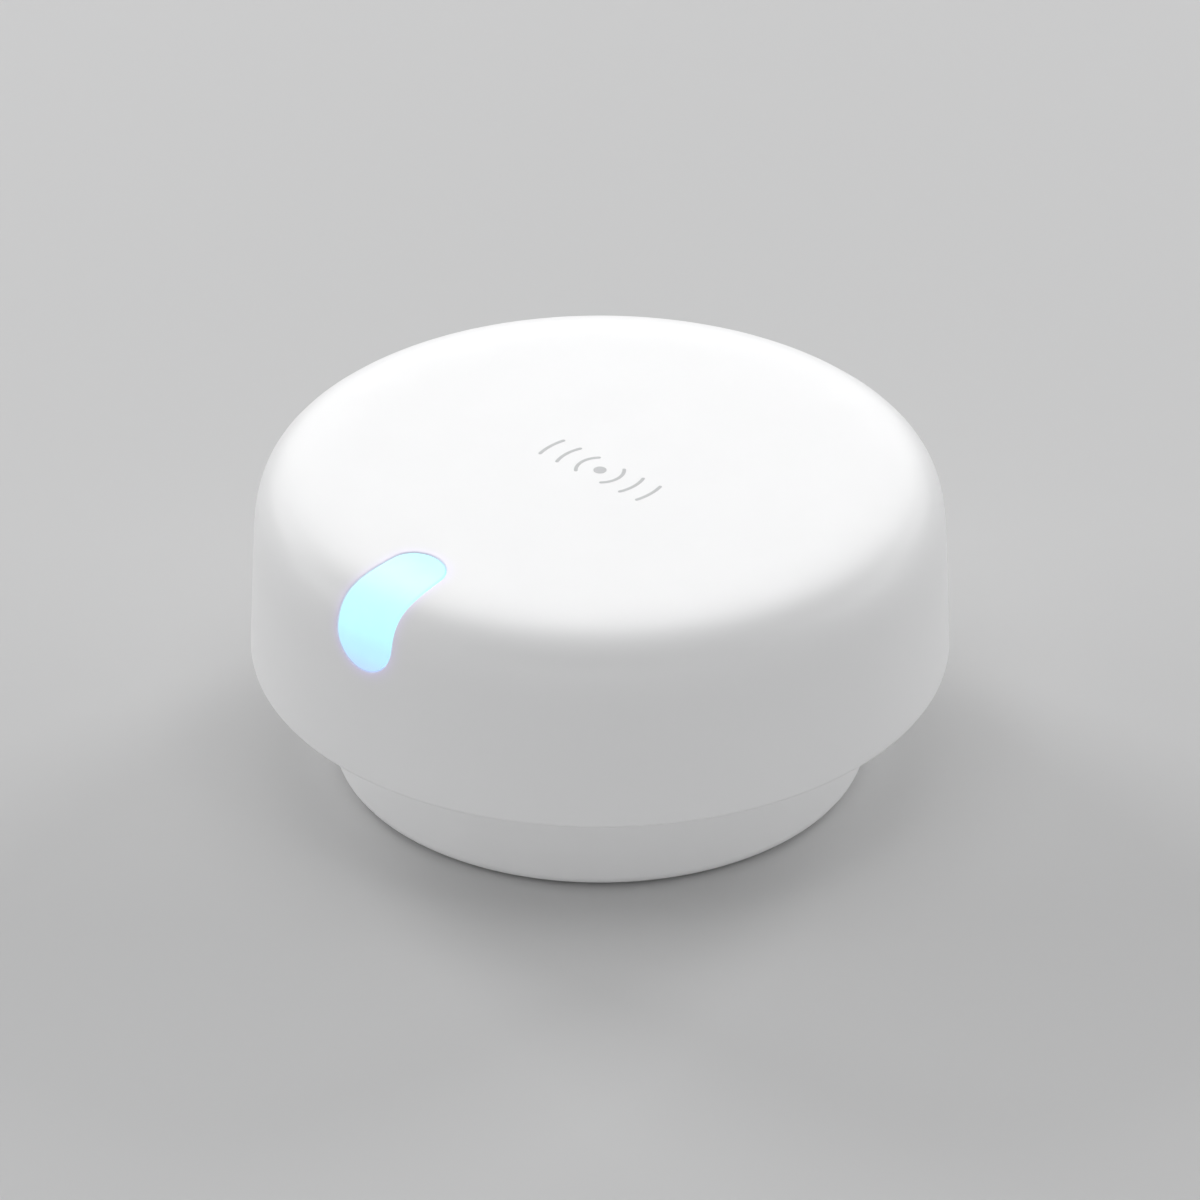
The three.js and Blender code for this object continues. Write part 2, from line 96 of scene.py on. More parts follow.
def placeCamera():
    back = outwards(cameraSet["azimuth"], cameraSet["elevation"])
    turn = (-back).to_track_quat("-Z", "Y")
    aim = Vector((0, 0, headTop / 2)) + turn @ Vector((0, cameraSet["rise"], 0))
    data = bpy.data.cameras.new("camera")
    data.lens = cameraSet["lens"]
    data.sensor_width = 36
    data.clip_start, data.clip_end = 0.05, 20
    camera = bpy.data.objects.new("camera", data)
    camera.location = (aim + back * cameraSet["distance"]) * mm
    camera.rotation_mode = "QUATERNION"
    camera.rotation_quaternion = turn
    bpy.context.scene.collection.objects.link(camera)
    bpy.context.scene.camera = camera


def placeLights():
    for name, azimuth, elevation, distance, width, height, power, sheenOnly in lightSet:
        data = bpy.data.lights.new(name, "AREA")
        data.shape = "RECTANGLE"
        data.size, data.size_y = width * mm, height * mm
        data.energy = power
        light = bpy.data.objects.new(name, data)
        back = outwards(azimuth, elevation)
        light.location = (back * distance + Vector((0, 0, headTop / 2))) * mm
        light.rotation_mode = "QUATERNION"
        light.rotation_quaternion = (-back).to_track_quat("-Z", "Y")
        light.visible_diffuse = not sheenOnly
        bpy.context.scene.collection.objects.link(light)
    world = bpy.data.worlds.new("studio")
    world.use_nodes = True
    background = world.node_tree.nodes["Background"]
    background.inputs["Color"].default_value = (*worldSet["tone"], 1)
    background.inputs["Strength"].default_value = worldSet["strength"]
    bpy.context.scene.world = world
    bpy.context.scene.view_settings.view_transform = "Standard"
    bpy.context.scene.view_settings.look = "None"


placeCamera()
placeLights()
print("camera and studio lights set")


# materials

def addNode(tree, kind, values=None, **settings):
    # a node with its inputs joined to sockets or set to plain values
    node = tree.nodes.new(kind)
    for name, value in settings.items():
        setattr(node, name, value)
    for name, value in (values or {}).items():
        if isinstance(value, bpy.types.NodeSocket):
            tree.links.new(value, node.inputs[name])
        else:
            node.inputs[name].default_value = value
    return node


def wire(tree, kind, values=None, **settings):
    return addNode(tree, kind, values, **settings).outputs[0]


def newMaterial(name, colour, roughness, metallic=0.0, specular=0.5):
    material = bpy.data.materials.new(name)
    material.use_nodes = True
    tree = material.node_tree
    tree.nodes.clear()
    output = addNode(tree, "ShaderNodeOutputMaterial")
    shader = addNode(tree, "ShaderNodeBsdfPrincipled", {
        "Base Color": (*colour, 1),
        "Roughness": roughness,
        "Metallic": metallic,
        "Specular IOR Level": specular,
    })
    tree.links.new(shader.outputs["BSDF"], output.inputs["Surface"])
    return material, tree, shader


def noiseOf(tree, scale, detail=2.0, stretch=None, roughness=0.5):
    source = addNode(tree, "ShaderNodeTexCoord").outputs["Object"]
    if stretch:
        source = wire(tree, "ShaderNodeMapping", {"Vector": source, "Scale": stretch})
    values = {"Vector": source, "Scale": scale, "Detail": detail, "Roughness": roughness}
    return addNode(tree, "ShaderNodeTexNoise", values).outputs["Fac"]


def remap(tree, value, low, high, fromLow=0.35, fromHigh=0.65):
    return addNode(tree, "ShaderNodeMapRange", {
        "Value": value, "From Min": fromLow, "From Max": fromHigh, "To Min": low, "To Max": high,
    }).outputs["Result"]


def mixColours(tree, factor, first, second):
    values = {"Factor": factor, "A": (*first, 1), "B": (*second, 1)}
    return addNode(tree, "ShaderNodeMix", values, data_type="RGBA").outputs["Result"]


def mottle(tree, shader, colour, depth, scale, detail):
    # noise takes the base colour down by up to a share of itself
    darker = tuple(c * (1 - depth) for c in colour)
    drift = remap(tree, noiseOf(tree, scale, detail), 0, 1)
    tree.links.new(mixColours(tree, drift, darker, colour), shader.inputs["Base Color"])


def varyGloss(tree, shader, pattern, low, high):
    tree.links.new(remap(tree, pattern, low, high), shader.inputs["Roughness"])


def addBump(tree, shader, height, strength, distance):
    bump = wire(tree, "ShaderNodeBump", {
        "Strength": strength, "Distance": distance * mm, "Height": height})
    tree.links.new(bump, shader.inputs["Normal"])


def mouldedPlastic(name, colour, roughness=0.38, grain=0.16, relief=0.0022, drift=0.004, specular=0.5):
    # spark-eroded mould skin: fine grain in the relief, slow drift in tone and in gloss
    material, tree, shader = newMaterial(name, colour, roughness, specular=specular)
    mottle(tree, shader, colour, drift, 55, 3)
    varyGloss(tree, shader, noiseOf(tree, 420, 2), roughness - 0.008, roughness + 0.012)
    addBump(tree, shader, noiseOf(tree, 1 / (grain * mm), 3, roughness=0.6), 0.35, relief)
    return material


def softRubber(name, colour, grain=0.25, relief=0.012):
    material, tree, shader = newMaterial(name, colour, 0.82, specular=0.3)
    mottle(tree, shader, colour, 0.12, 300, 4)
    varyGloss(tree, shader, noiseOf(tree, 900, 2), 0.76, 0.9)
    addBump(tree, shader, noiseOf(tree, 1 / (grain * mm), 4, roughness=0.7), 0.6, relief)
    return material


def platedMetal(name, colour, roughness=0.3, brush=(1, 1, 1), relief=0.002):
    material, tree, shader = newMaterial(name, colour, roughness, metallic=1.0)
    lines = noiseOf(tree, 2600, 3, stretch=brush)
    mottle(tree, shader, colour, 0.14, 180, 4)
    varyGloss(tree, shader, lines, roughness - 0.07, roughness + 0.1)
    addBump(tree, shader, lines, 0.4, relief)
    return material


def circuitBoard(name):
    # solder mask with tracks showing through as squared-off ridges
    material, tree, shader = newMaterial(name, (0.018, 0.13, 0.06), 0.35)
    coords = addNode(tree, "ShaderNodeTexCoord").outputs["Object"]
    cells = addNode(tree, "ShaderNodeTexVoronoi", {"Vector": coords, "Scale": 420.0},
                    distance="CHEBYCHEV", feature="F1")
    tracks = remap(tree, cells.outputs["Distance"], 1, 0, 0.28, 0.34)
    masked = mixColours(tree, tracks, (0.014, 0.10, 0.045), (0.03, 0.2, 0.09))
    tree.links.new(masked, shader.inputs["Base Color"])
    varyGloss(tree, shader, noiseOf(tree, 700, 2), 0.28, 0.42)
    addBump(tree, shader, tracks, 0.5, 0.02)
    return material


def floorPaper():
    tone = floorSet["tone"]
    material, tree, shader = newMaterial("floorPaper", (tone, tone, tone), 0.9, specular=0.1)
    mottle(tree, shader, (tone,) * 3, 0.015, 3, 2)
    return material


# painted glow: the indicator's light spilling onto the cover is painted into the cover's plastic as a faint
# lavender emission right beside the lit indicator

haloSet = {"colour": (0.035, 0.004, 0.13), "strength": 1.0, "reach": 0.55, "fall": 1.3,
           "fromRadius": 18.0, "sideways": 6.0}


def coverPlastic():
    material = mouldedPlastic("coverWhite", whiteTone, 0.47)
    tree = material.node_tree
    shader = next(n for n in tree.nodes if n.type == "BSDF_PRINCIPLED")
    # painted glow: the halo attribute mixes the cover's emission from black to lavender near the indicator
    halo = addNode(tree, "ShaderNodeAttribute", attribute_name="halo")
    glow = mixColours(tree, halo.outputs["Fac"], (0, 0, 0), haloSet["colour"])
    tree.links.new(glow, shader.inputs["Emission Color"])
    shader.inputs["Emission Strength"].default_value = haloSet["strength"]
    return material


# milky diffuser: lit from behind, whiter towards the face, bluer down at its lower tip

lensTones = [
    # place along the indicator, emitted colour
    (0.00, (0.42, 0.60, 0.88)),
    (0.14, (0.41, 0.72, 0.88)),
    (0.30, (0.44, 0.86, 0.88)),
    (0.70, (0.49, 0.88, 0.88)),
    (1.00, (0.37, 0.80, 0.82)),
]


def litDiffuser():
    material, tree, shader = newMaterial("litDiffuser", (0.22, 0.3, 0.32), 0.5, specular=0.2)
    along = addNode(tree, "ShaderNodeAttribute", attribute_name="along")
    ramp = addNode(tree, "ShaderNodeValToRGB")
    ramp.color_ramp.interpolation = "EASE"
    stops = ramp.color_ramp.elements
    while len(stops) < len(lensTones):
        stops.new(0.5)
    for stop, (place, tone) in zip(stops, lensTones):
        stop.position = place
        stop.color = (*tone, 1)
    tree.links.new(along.outputs["Fac"], ramp.inputs["Fac"])
    cloud = remap(tree, noiseOf(tree, 500, 3), 0.97, 1.0)
    softened = addNode(tree, "ShaderNodeMix", {"Factor": 1, "A": ramp.outputs["Color"], "B": cloud},
                       data_type="RGBA", blend_type="MULTIPLY").outputs["Result"]
    tree.links.new(softened, shader.inputs["Emission Color"])
    shader.inputs["Emission Strength"].default_value = 1.0
    varyGloss(tree, shader, noiseOf(tree, 900, 2), 0.48, 0.52)
    addBump(tree, shader, noiseOf(tree, 5000, 2), 0.25, 0.001)
    return material


whiteTone = (0.865, 0.866, 0.868)
# painted light: the base's white is set brighter than the cover's white to make up for the shade the head casts on
# the foot
baseToneWithPaintedLight = (0.9, 0.901, 0.903)
coverWhite = coverPlastic()
baseWhite = mouldedPlastic("baseWhite", baseToneWithPaintedLight, 0.44)
buttonWhite = mouldedPlastic("buttonWhite", (0.87, 0.875, 0.88), 0.28, grain=0.3, relief=0.001)
footGrey = mouldedPlastic("footGrey", (0.68, 0.69, 0.7), 0.5, grain=0.2, relief=0.004)
printGrey = mouldedPlastic("printGrey", (0.47, 0.475, 0.485), 0.5, grain=0.1, relief=0.003, drift=0.05)
lensLit = litDiffuser()
gripRubber = softRubber("gripRubber", (0.3, 0.31, 0.32))
sealRubber = softRubber("sealRubber", (0.24, 0.245, 0.25))
blackPlastic = mouldedPlastic("blackPlastic", (0.012,) * 3, 0.5, grain=0.12, relief=0.004, drift=0.2)
blackEpoxy = mouldedPlastic("blackEpoxy", (0.017,) * 3, 0.62, grain=0.08, relief=0.006, drift=0.25)
ledResin = mouldedPlastic("ledResin", (0.7, 0.82, 0.86), 0.16, grain=0.2, relief=0.001)
acetalPlain = mouldedPlastic("acetalPlain", (0.78, 0.76, 0.7), 0.42, grain=0.2, relief=0.003)
screwSteel = platedMetal("screwSteel", (0.56, 0.57, 0.59), 0.3)
socketSteel = platedMetal("socketSteel", (0.62, 0.63, 0.65), 0.26, brush=(0.12, 1, 1))
weightSteel = platedMetal("weightSteel", (0.42, 0.43, 0.45), 0.4)
canSteel = platedMetal("canSteel", (0.6, 0.61, 0.62), 0.34, brush=(0.2, 1, 1))
plainBrass = platedMetal("plainBrass", (0.6, 0.42, 0.15), 0.32)
contactGold = platedMetal("contactGold", (0.78, 0.55, 0.2), 0.22)
boardGreen = circuitBoard("boardGreen")
print("materials made:", len(bpy.data.materials))


# mesh helpers

def smoothed(mesh, sharp=32.0):
    mesh.shade_smooth()
    mesh.set_sharp_from_angle(angle=math.radians(sharp))


def settled(piece, modifier):
    # the modifier's result becomes the piece's own mesh
    plain = bpy.data.meshes.new_from_object(piece.evaluated_get(bpy.context.evaluated_depsgraph_get()))
    piece.modifiers.remove(modifier)
    piece.data = plain


def finishMesh(name, vertices, faces, material, weighted=True):
    mesh = bpy.data.meshes.new(name)
    mesh.from_pydata([Vector(v) * mm for v in vertices], [], faces)
    mesh.materials.append(material)
    smoothed(mesh)
    piece = bpy.data.objects.new(name, mesh)
    bpy.context.scene.collection.objects.link(piece)
    if weighted:
        normals = piece.modifiers.new("evenShading", "WEIGHTED_NORMAL")
        normals.keep_sharp = True
    return piece


def hand(piece, body, slot, *nodes):
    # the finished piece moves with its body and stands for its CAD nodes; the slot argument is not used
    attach(piece, body)
    if nodes:
        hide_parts(*nodes)


def polar(radius, angle, z=0.0):
    return Vector((radius * math.cos(angle), radius * math.sin(angle), z))


def filleted(corners, steps=4):
    # corners are (x, y, radius); a closed outline, with each radius turned into an arc
    line = []
    count = len(corners)
    for i, (x, y, radius) in enumerate(corners):
        here = Vector((x, y))
        if radius <= 0:
            line.append((x, y))
            continue
        before = (Vector(corners[i - 1][:2]) - here).normalized()
        after = (Vector(corners[(i + 1) % count][:2]) - here).normalized()
        half = before.angle(after) / 2
        centre = here + (before + after).normalized() * (radius / math.sin(half))
        start = here + before * (radius / math.tan(half)) - centre
        end = here + after * (radius / math.tan(half)) - centre
        sweep = start.angle_signed(end)
        for k in range(steps + 1):
            turn = -sweep * k / steps
            c, s = math.cos(turn), math.sin(turn)
            line.append((centre.x + start.x * c - start.y * s, centre.y + start.x * s + start.y * c))
    return line


def revolved(profile, turns):
    # a closed profile turned about Z; points on the axis become single poles
    vertices, rows = [], []
    for r, z in profile:
        if r < 1e-6:
            rows.append([len(vertices)] * turns)
            vertices.append((0, 0, z))
        else:
            rows.append(list(range(len(vertices), len(vertices) + turns)))
            vertices += [polar(r, 2 * math.pi * (j + 0.5) / turns, z) for j in range(turns)]
    faces = []
    for i in range(len(rows)):
        a, b = rows[i], rows[(i + 1) % len(rows)]
        if a[0] == a[1] and b[0] == b[1]:
            continue
        for j in range(turns):
            k = (j + 1) % turns
            corner = [a[j], a[k], b[k], b[j]]
            faces.append([v for n, v in enumerate(corner) if v not in corner[:n]])
    return vertices, faces


def prism(outline, low, high):
    # an outline that runs counter-clockwise, standing from low to high
    count = len(outline)
    vertices = [(x, y, low) for x, y in outline] + [(x, y, high) for x, y in outline]
    faces = [list(range(count))[::-1], list(range(count, 2 * count))]
    faces += [[i, (i + 1) % count, (i + 1) % count + count, i + count] for i in range(count)]
    return vertices, faces


def rod(radius, start, end, sides=64):
    # a bar along X on the hinge axis
    vertices, faces = prism(wholeCircle(radius, (0, 0), sides), start, end)
    turn = Matrix.Translation(hinge) @ Matrix.Rotation(math.pi / 2, 4, "Y")
    return [turn @ Vector(v) for v in vertices], faces


def brick(low, high):
    x0, y0, z0 = low
    x1, y1, z1 = high
    return prism([(x0, y0), (x1, y0), (x1, y1), (x0, y1)], z0, z1)


def slotOutline(length, height, sides=16):
    # a slot with round ends, its length along the first axis
    r, half = height / 2, length / 2 - height / 2
    return circleLine(r, (half, 0), -90, 90, sides) + circleLine(r, (-half, 0), 90, 270, sides)


def arcAngles(start, end, steps):
    return [math.radians(start + (end - start) * k / steps) for k in range(steps + 1)]


def circleLine(radius, centre, start, end, steps):
    # points along an arc, from degrees to degrees
    x, y = centre
    return [(x + radius * math.cos(a), y + radius * math.sin(a)) for a in arcAngles(start, end, steps)]


def wholeCircle(radius, centre, steps=32):
    return circleLine(radius, centre, 0, 360, steps)[:-1]


def carve(piece, shape, how="DIFFERENCE"):
    tool = finishMesh("tool", *shape, piece.data.materials[0], weighted=False)
    change = piece.modifiers.new("carve", "BOOLEAN")
    change.operation, change.object, change.solver = how, tool, "EXACT"
    settled(piece, change)
    bpy.data.objects.remove(tool)


def moulded(name, shape, material, cuts, softEdge=0.0):
    # a body joined and cut in order, its edges lightly rounded at the end if asked
    piece = finishMesh(name, *shape, material, weighted=False)
    for how, tool in cuts:
        carve(piece, tool, how)
    smoothed(piece.data)
    if softEdge:
        bevel = piece.modifiers.new("softEdges", "BEVEL")
        bevel.width = softEdge * mm
        bevel.segments = 2
        bevel.limit_method = "ANGLE"
        bevel.angle_limit = math.radians(38)
        bevel.harden_normals = True
    return piece


# front cover: outline of the head from its lower edge, up the drafted side, over the corner to the centre

coverSet = {
    "wall": 1.8, "rimRound": 0.5, "sideTop": (31.54, 23.14), "cornerLift": 4.55,
    "shoulder": (30.46, 29.26), "ease": 28.15, "faceRadius": 22.0, "turns": 288,
    "rimSteps": 12, "sideRows": 15, "cornerRows": 26, "faceRows": (0.0, 1.0, 2.4, 4.0),
}
# where the cover's grid gives way to a hole: room beside it, above and below it, and round its edge
holeRoom = {"side": 0.9, "row": 0.4, "loose": 0.28}


def coverLine():
    low, rim = headBottom, coverSet["rimRound"]
    points = circleLine(rim, (headRadius - rim, low + rim), -90, 0, coverSet["rimSteps"])
    bottom, top = Vector(points[-1]), Vector(coverSet["sideTop"])
    points += [tuple(bottom.lerp(top, k / 40)) for k in range(1, 40)]
    control = [
        top,
        top + (top - bottom).normalized() * coverSet["cornerLift"],
        Vector(coverSet["shoulder"]),
        Vector((coverSet["ease"], headTop)),
        Vector((coverSet["faceRadius"], headTop)),
    ]
    for k in range(161):
        level = control
        while len(level) > 1:
            level = [a.lerp(b, k / 160) for a, b in zip(level, level[1:])]
        points.append(tuple(level[0]))
    points += [(coverSet["faceRadius"] * (1 - k / 20), headTop) for k in range(1, 21)]
    return points


lineOfCover = coverLine()
lineLengths = [0.0]
for here, there in zip(lineOfCover, lineOfCover[1:]):
    lineLengths.append(lineLengths[-1] + math.dist(here, there))


def alongCover(s):
    # radius, height and outward normal at a length s along the outline
    i = min(max(bisect_right(lineLengths, s) - 1, 0), len(lineLengths) - 2)
    span = lineLengths[i + 1] - lineLengths[i]
    t = (s - lineLengths[i]) / span
    (r0, z0), (r1, z1) = lineOfCover[i], lineOfCover[i + 1]

    def normalAt(k):
        a, b = lineOfCover[max(k - 1, 0)], lineOfCover[min(k + 1, len(lineOfCover) - 1)]
        return Vector((b[1] - a[1], a[0] - b[0])).normalized()

    normal = normalAt(i).lerp(normalAt(i + 1), t).normalized()
    return r0 + (r1 - r0) * t, z0 + (z1 - z0) * t, normal


def lengthWhere(measure, target):
    # length along the outline where measure(r, z) first climbs to the target
    for i, (here, there) in enumerate(zip(lineOfCover, lineOfCover[1:])):
        a, b = measure(*here), measure(*there)
        if a < target <= b:
            return lineLengths[i] + (lineLengths[i + 1] - lineLengths[i]) * (target - a) / (b - a)


def lengthAtHeight(height):
    return lengthWhere(lambda r, z: z, height)


def lengthAtRadius(radius):
    return lengthWhere(lambda r, z: -r, -radius)


def onCover(s, angle, depth):
    r, z, normal = alongCover(s)
    return polar(r - normal.x * depth, angle, z - normal.y * depth)


pillSet = {
    "azimuth": -90.0, "lowZ": 22.62, "highR": 21.2, "halfWidth": 3.3, "upperHalf": 2.95, "lean": 0.8,
    "gap": 0.07, "edge": 0.16, "thickness": 2.0, "lensEdge": 0.14, "frontGrid": 0.45, "backGrid": 1.2,
}
pillLow = lengthAtHeight(pillSet["lowZ"])
pillHigh = lengthAtRadius(pillSet["highR"])


def pillLine(grow, sides=20, rungs=16):
    # the indicator's outline as (length along the outline, distance sideways)
    wide, slim = pillSet["halfWidth"] + grow, pillSet["upperHalf"] + grow
    low, high = pillLow - grow + wide, pillHigh + grow - slim

    def halfAt(k):
        return wide + (slim - wide) * (k / rungs) ** 2

    line = [(high + slim * math.sin(a), slim * math.cos(a)) for a in arcAngles(0, 180, sides)]
    line += [(low + (high - low) * k / rungs, -halfAt(k)) for k in range(rungs - 1, 0, -1)]
    line += [(low - wide * math.sin(a), -wide * math.cos(a)) for a in arcAngles(0, 180, sides)]
    line += [(low + (high - low) * k / rungs, halfAt(k)) for k in range(1, rungs)]
    middle, span = (pillLow + pillHigh) / 2, pillHigh - pillLow
    return [(s, w - pillSet["lean"] * (s - middle) / span) for s, w in line]


def pillPoint(s, w, depth):
    r = alongCover(s)[0]
    return onCover(s, math.radians(pillSet["azimuth"]) + w / r, depth)


def fillet(edge, steps=4):
    # (how far out, how deep) pairs that round an edge from the surface down into a hole
    return [(edge * (1 - math.sin(a)), edge * (1 - math.cos(a))) for a in arcAngles(0, 90, steps)]


def insideLine(x, y, line):
    inside = False
    for (x0, y0), (x1, y1) in zip(line, line[1:] + line[:1]):
        if (y0 > y) != (y1 > y) and x < x0 + (x1 - x0) * (y - y0) / (y1 - y0):
            inside = not inside
    return inside


def distanceTo(x, y, line):
    here, best = Vector((x, y)), 1e9
    for a, b in zip(line, line[1:] + line[:1]):
        a, b = Vector(a), Vector(b)
        t = max(0.0, min(1.0, (here - a).dot(b - a) / max((b - a).length_squared, 1e-12)))
        best = min(best, (a.lerp(b, t) - here).length)
    return best


def triangulate(border, hole, loose):
    # flat points with their vertex numbers: fills between border and hole, through the loose points
    flat = border + hole + loose
    edges = [(i, (i + 1) % len(border)) for i in range(len(border))]
    start = len(border)
    edges += [(start + i, start + (i + 1) % len(hole)) for i in range(len(hole))]
    points, _, faces, origins, _, _ = delaunay_2d_cdt([Vector(p[:2]) for p in flat], edges, [], 1, 1e-6)
    holeLine = [p[:2] for p in hole]
    result = []
    for face in faces:
        x = sum(points[i].x for i in face) / 3
        y = sum(points[i].y for i in face) / 3
        if hole and insideLine(x, y, holeLine):
            continue
        a, b, c = (points[i] for i in face)
        order = face if (b - a).cross(c - a) > 0 else face[::-1]
        result.append([flat[origins[i][0]][2] for i in order])
    return result


class Opening:
    # a hole through the cover: rings of points from the outside in, and where they lie on the cover

    def __init__(self, azimuth, outerRings, throat, innerRing):
        self.azimuth = azimuth  # radians, of the hole's middle
        self.outerRings = outerRings  # (s, sideways angle) rings on the surface, widest first
        self.throat = throat  # rings of finished points on the way in
        self.innerRing = innerRing  # (s, sideways angle) ring on the inner surface


def pillOpening():
    def asAngles(line):
        return [(s, w / alongCover(s)[0]) for s, w in line]

    edge, wall = pillSet["edge"], coverSet["wall"]
    collars = [asAngles(pillLine(grow + edge)) for grow in (1.6, 1.15, 0.8, 0.5, 0.28, 0.12)]
    rounding = fillet(edge)
    surface = asAngles(pillLine(rounding[0][0]))
    throat = [[pillPoint(s, w, deep) for s, w in pillLine(out)] for out, deep in rounding[1:]]
    throat.append([pillPoint(s, w, wall * 0.5) for s, w in pillLine(0)])
    return Opening(math.radians(pillSet["azimuth"]), collars + [surface], throat, asAngles(pillLine(0)))


def sidePoint(azimuth, across, height, distance):
    # a point in front of the side wall: across it, up it, and out along the azimuth
    out = polar(1, azimuth)
    return out * distance + Vector((-out.y, out.x, 0)) * across + Vector((0, 0, height))


def sideRing(outline, height, depth):
    # an upright outline thrown onto the side wall, as (s, sideways angle)
    ring = []
    for across, up in outline:
        s = lengthAtHeight(height + up)
        r = alongCover(s)[0] - depth
        ring.append((s, math.asin(across / r)))
    return ring


socketLow, socketHigh = boxOf("usb_socket")
buttonLow, buttonHigh = boxOf("button_cap")
socketSet = {"clear": 0.28, "landing": 30.9, "landingGrow": (3.7, 3.1), "edge": 0.2,
             "wall": 0.35, "lip": 0.12}
buttonSet = {"azimuth": 135.0, "radius": 2.4, "clear": 0.16, "edge": 0.2, "face": 31.8, "flange": 3.3,
             "flangeBack": 28.3, "flangeFront": 29.2, "pusherEnd": 27.9, "crownEdge": 0.32}
buttonZ = (buttonLow.z + buttonHigh.z) / 2
socketZ = (socketLow.z + socketHigh.z) / 2


def grown(outline, amount):
    # a convex outline about the middle, moved outwards
    result = []
    before, after = outline[-1:] + outline[:-1], outline[1:] + outline[:1]
    for (x0, y0), (x, y), (x1, y1) in zip(before, outline, after):
        way = Vector((y1 - y0, x0 - x1)).normalized()
        result.append((x + way.x * amount, y + way.y * amount))
    return result


def surfaceDistance(height, across, depth):
    # how far out along an azimuth the wall is, at a height and a distance across
    s = lengthAtHeight(height)
    r = alongCover(s)[0] - depth
    return math.sqrt(r * r - across * across)


def socketOpening():
    azimuth, edge = math.pi, socketSet["edge"]
    width, tall = socketHigh.y - socketLow.y, socketHigh.z - socketLow.z
    mouth = slotOutline(width + 2 * socketSet["clear"], tall + 2 * socketSet["clear"])
    growX, growY = socketSet["landingGrow"]
    landing = slotOutline(width + growX, tall + growY)
    flat = socketSet["landing"]
    collars = [sideRing(grown(landing, out), socketZ, 0) for out in (1.0, 0.5, 0.2, 0.08)]
    throat = [[sidePoint(azimuth, a, socketZ + u, min(flat, surfaceDistance(socketZ + u, a, 0.02)))
               for a, u in grown(landing, out)] for out in (0.0, -0.1)]
    for out, deep in fillet(edge):
        throat.append([sidePoint(azimuth, a, socketZ + u, flat - deep) for a, u in grown(mouth, out)])
    return Opening(azimuth, collars, throat, sideRing(mouth, socketZ, coverSet["wall"]))


def buttonOpening():
    azimuth = math.radians(buttonSet["azimuth"])
    radius, edge = buttonSet["radius"] + buttonSet["clear"], buttonSet["edge"]
    circle = wholeCircle(radius, (0, 0), 48)
    collars = [sideRing(grown(circle, out), buttonZ, 0) for out in (1.0, 0.55, edge + 0.12, edge)]
    throat = [[sidePoint(azimuth, a, buttonZ + u, surfaceDistance(buttonZ + u, a, deep))
               for a, u in grown(circle, out)] for out, deep in fillet(edge)[1:]]
    return Opening(azimuth, collars, throat, sideRing(circle, buttonZ, coverSet["wall"]))


def flipped(faces, flip=True):
    return [face[::-1] for face in faces] if flip else faces


def stripBetween(first, second):
    count = len(first)
    return [[first[i], first[(i + 1) % count], second[(i + 1) % count], second[i]] for i in range(count)]


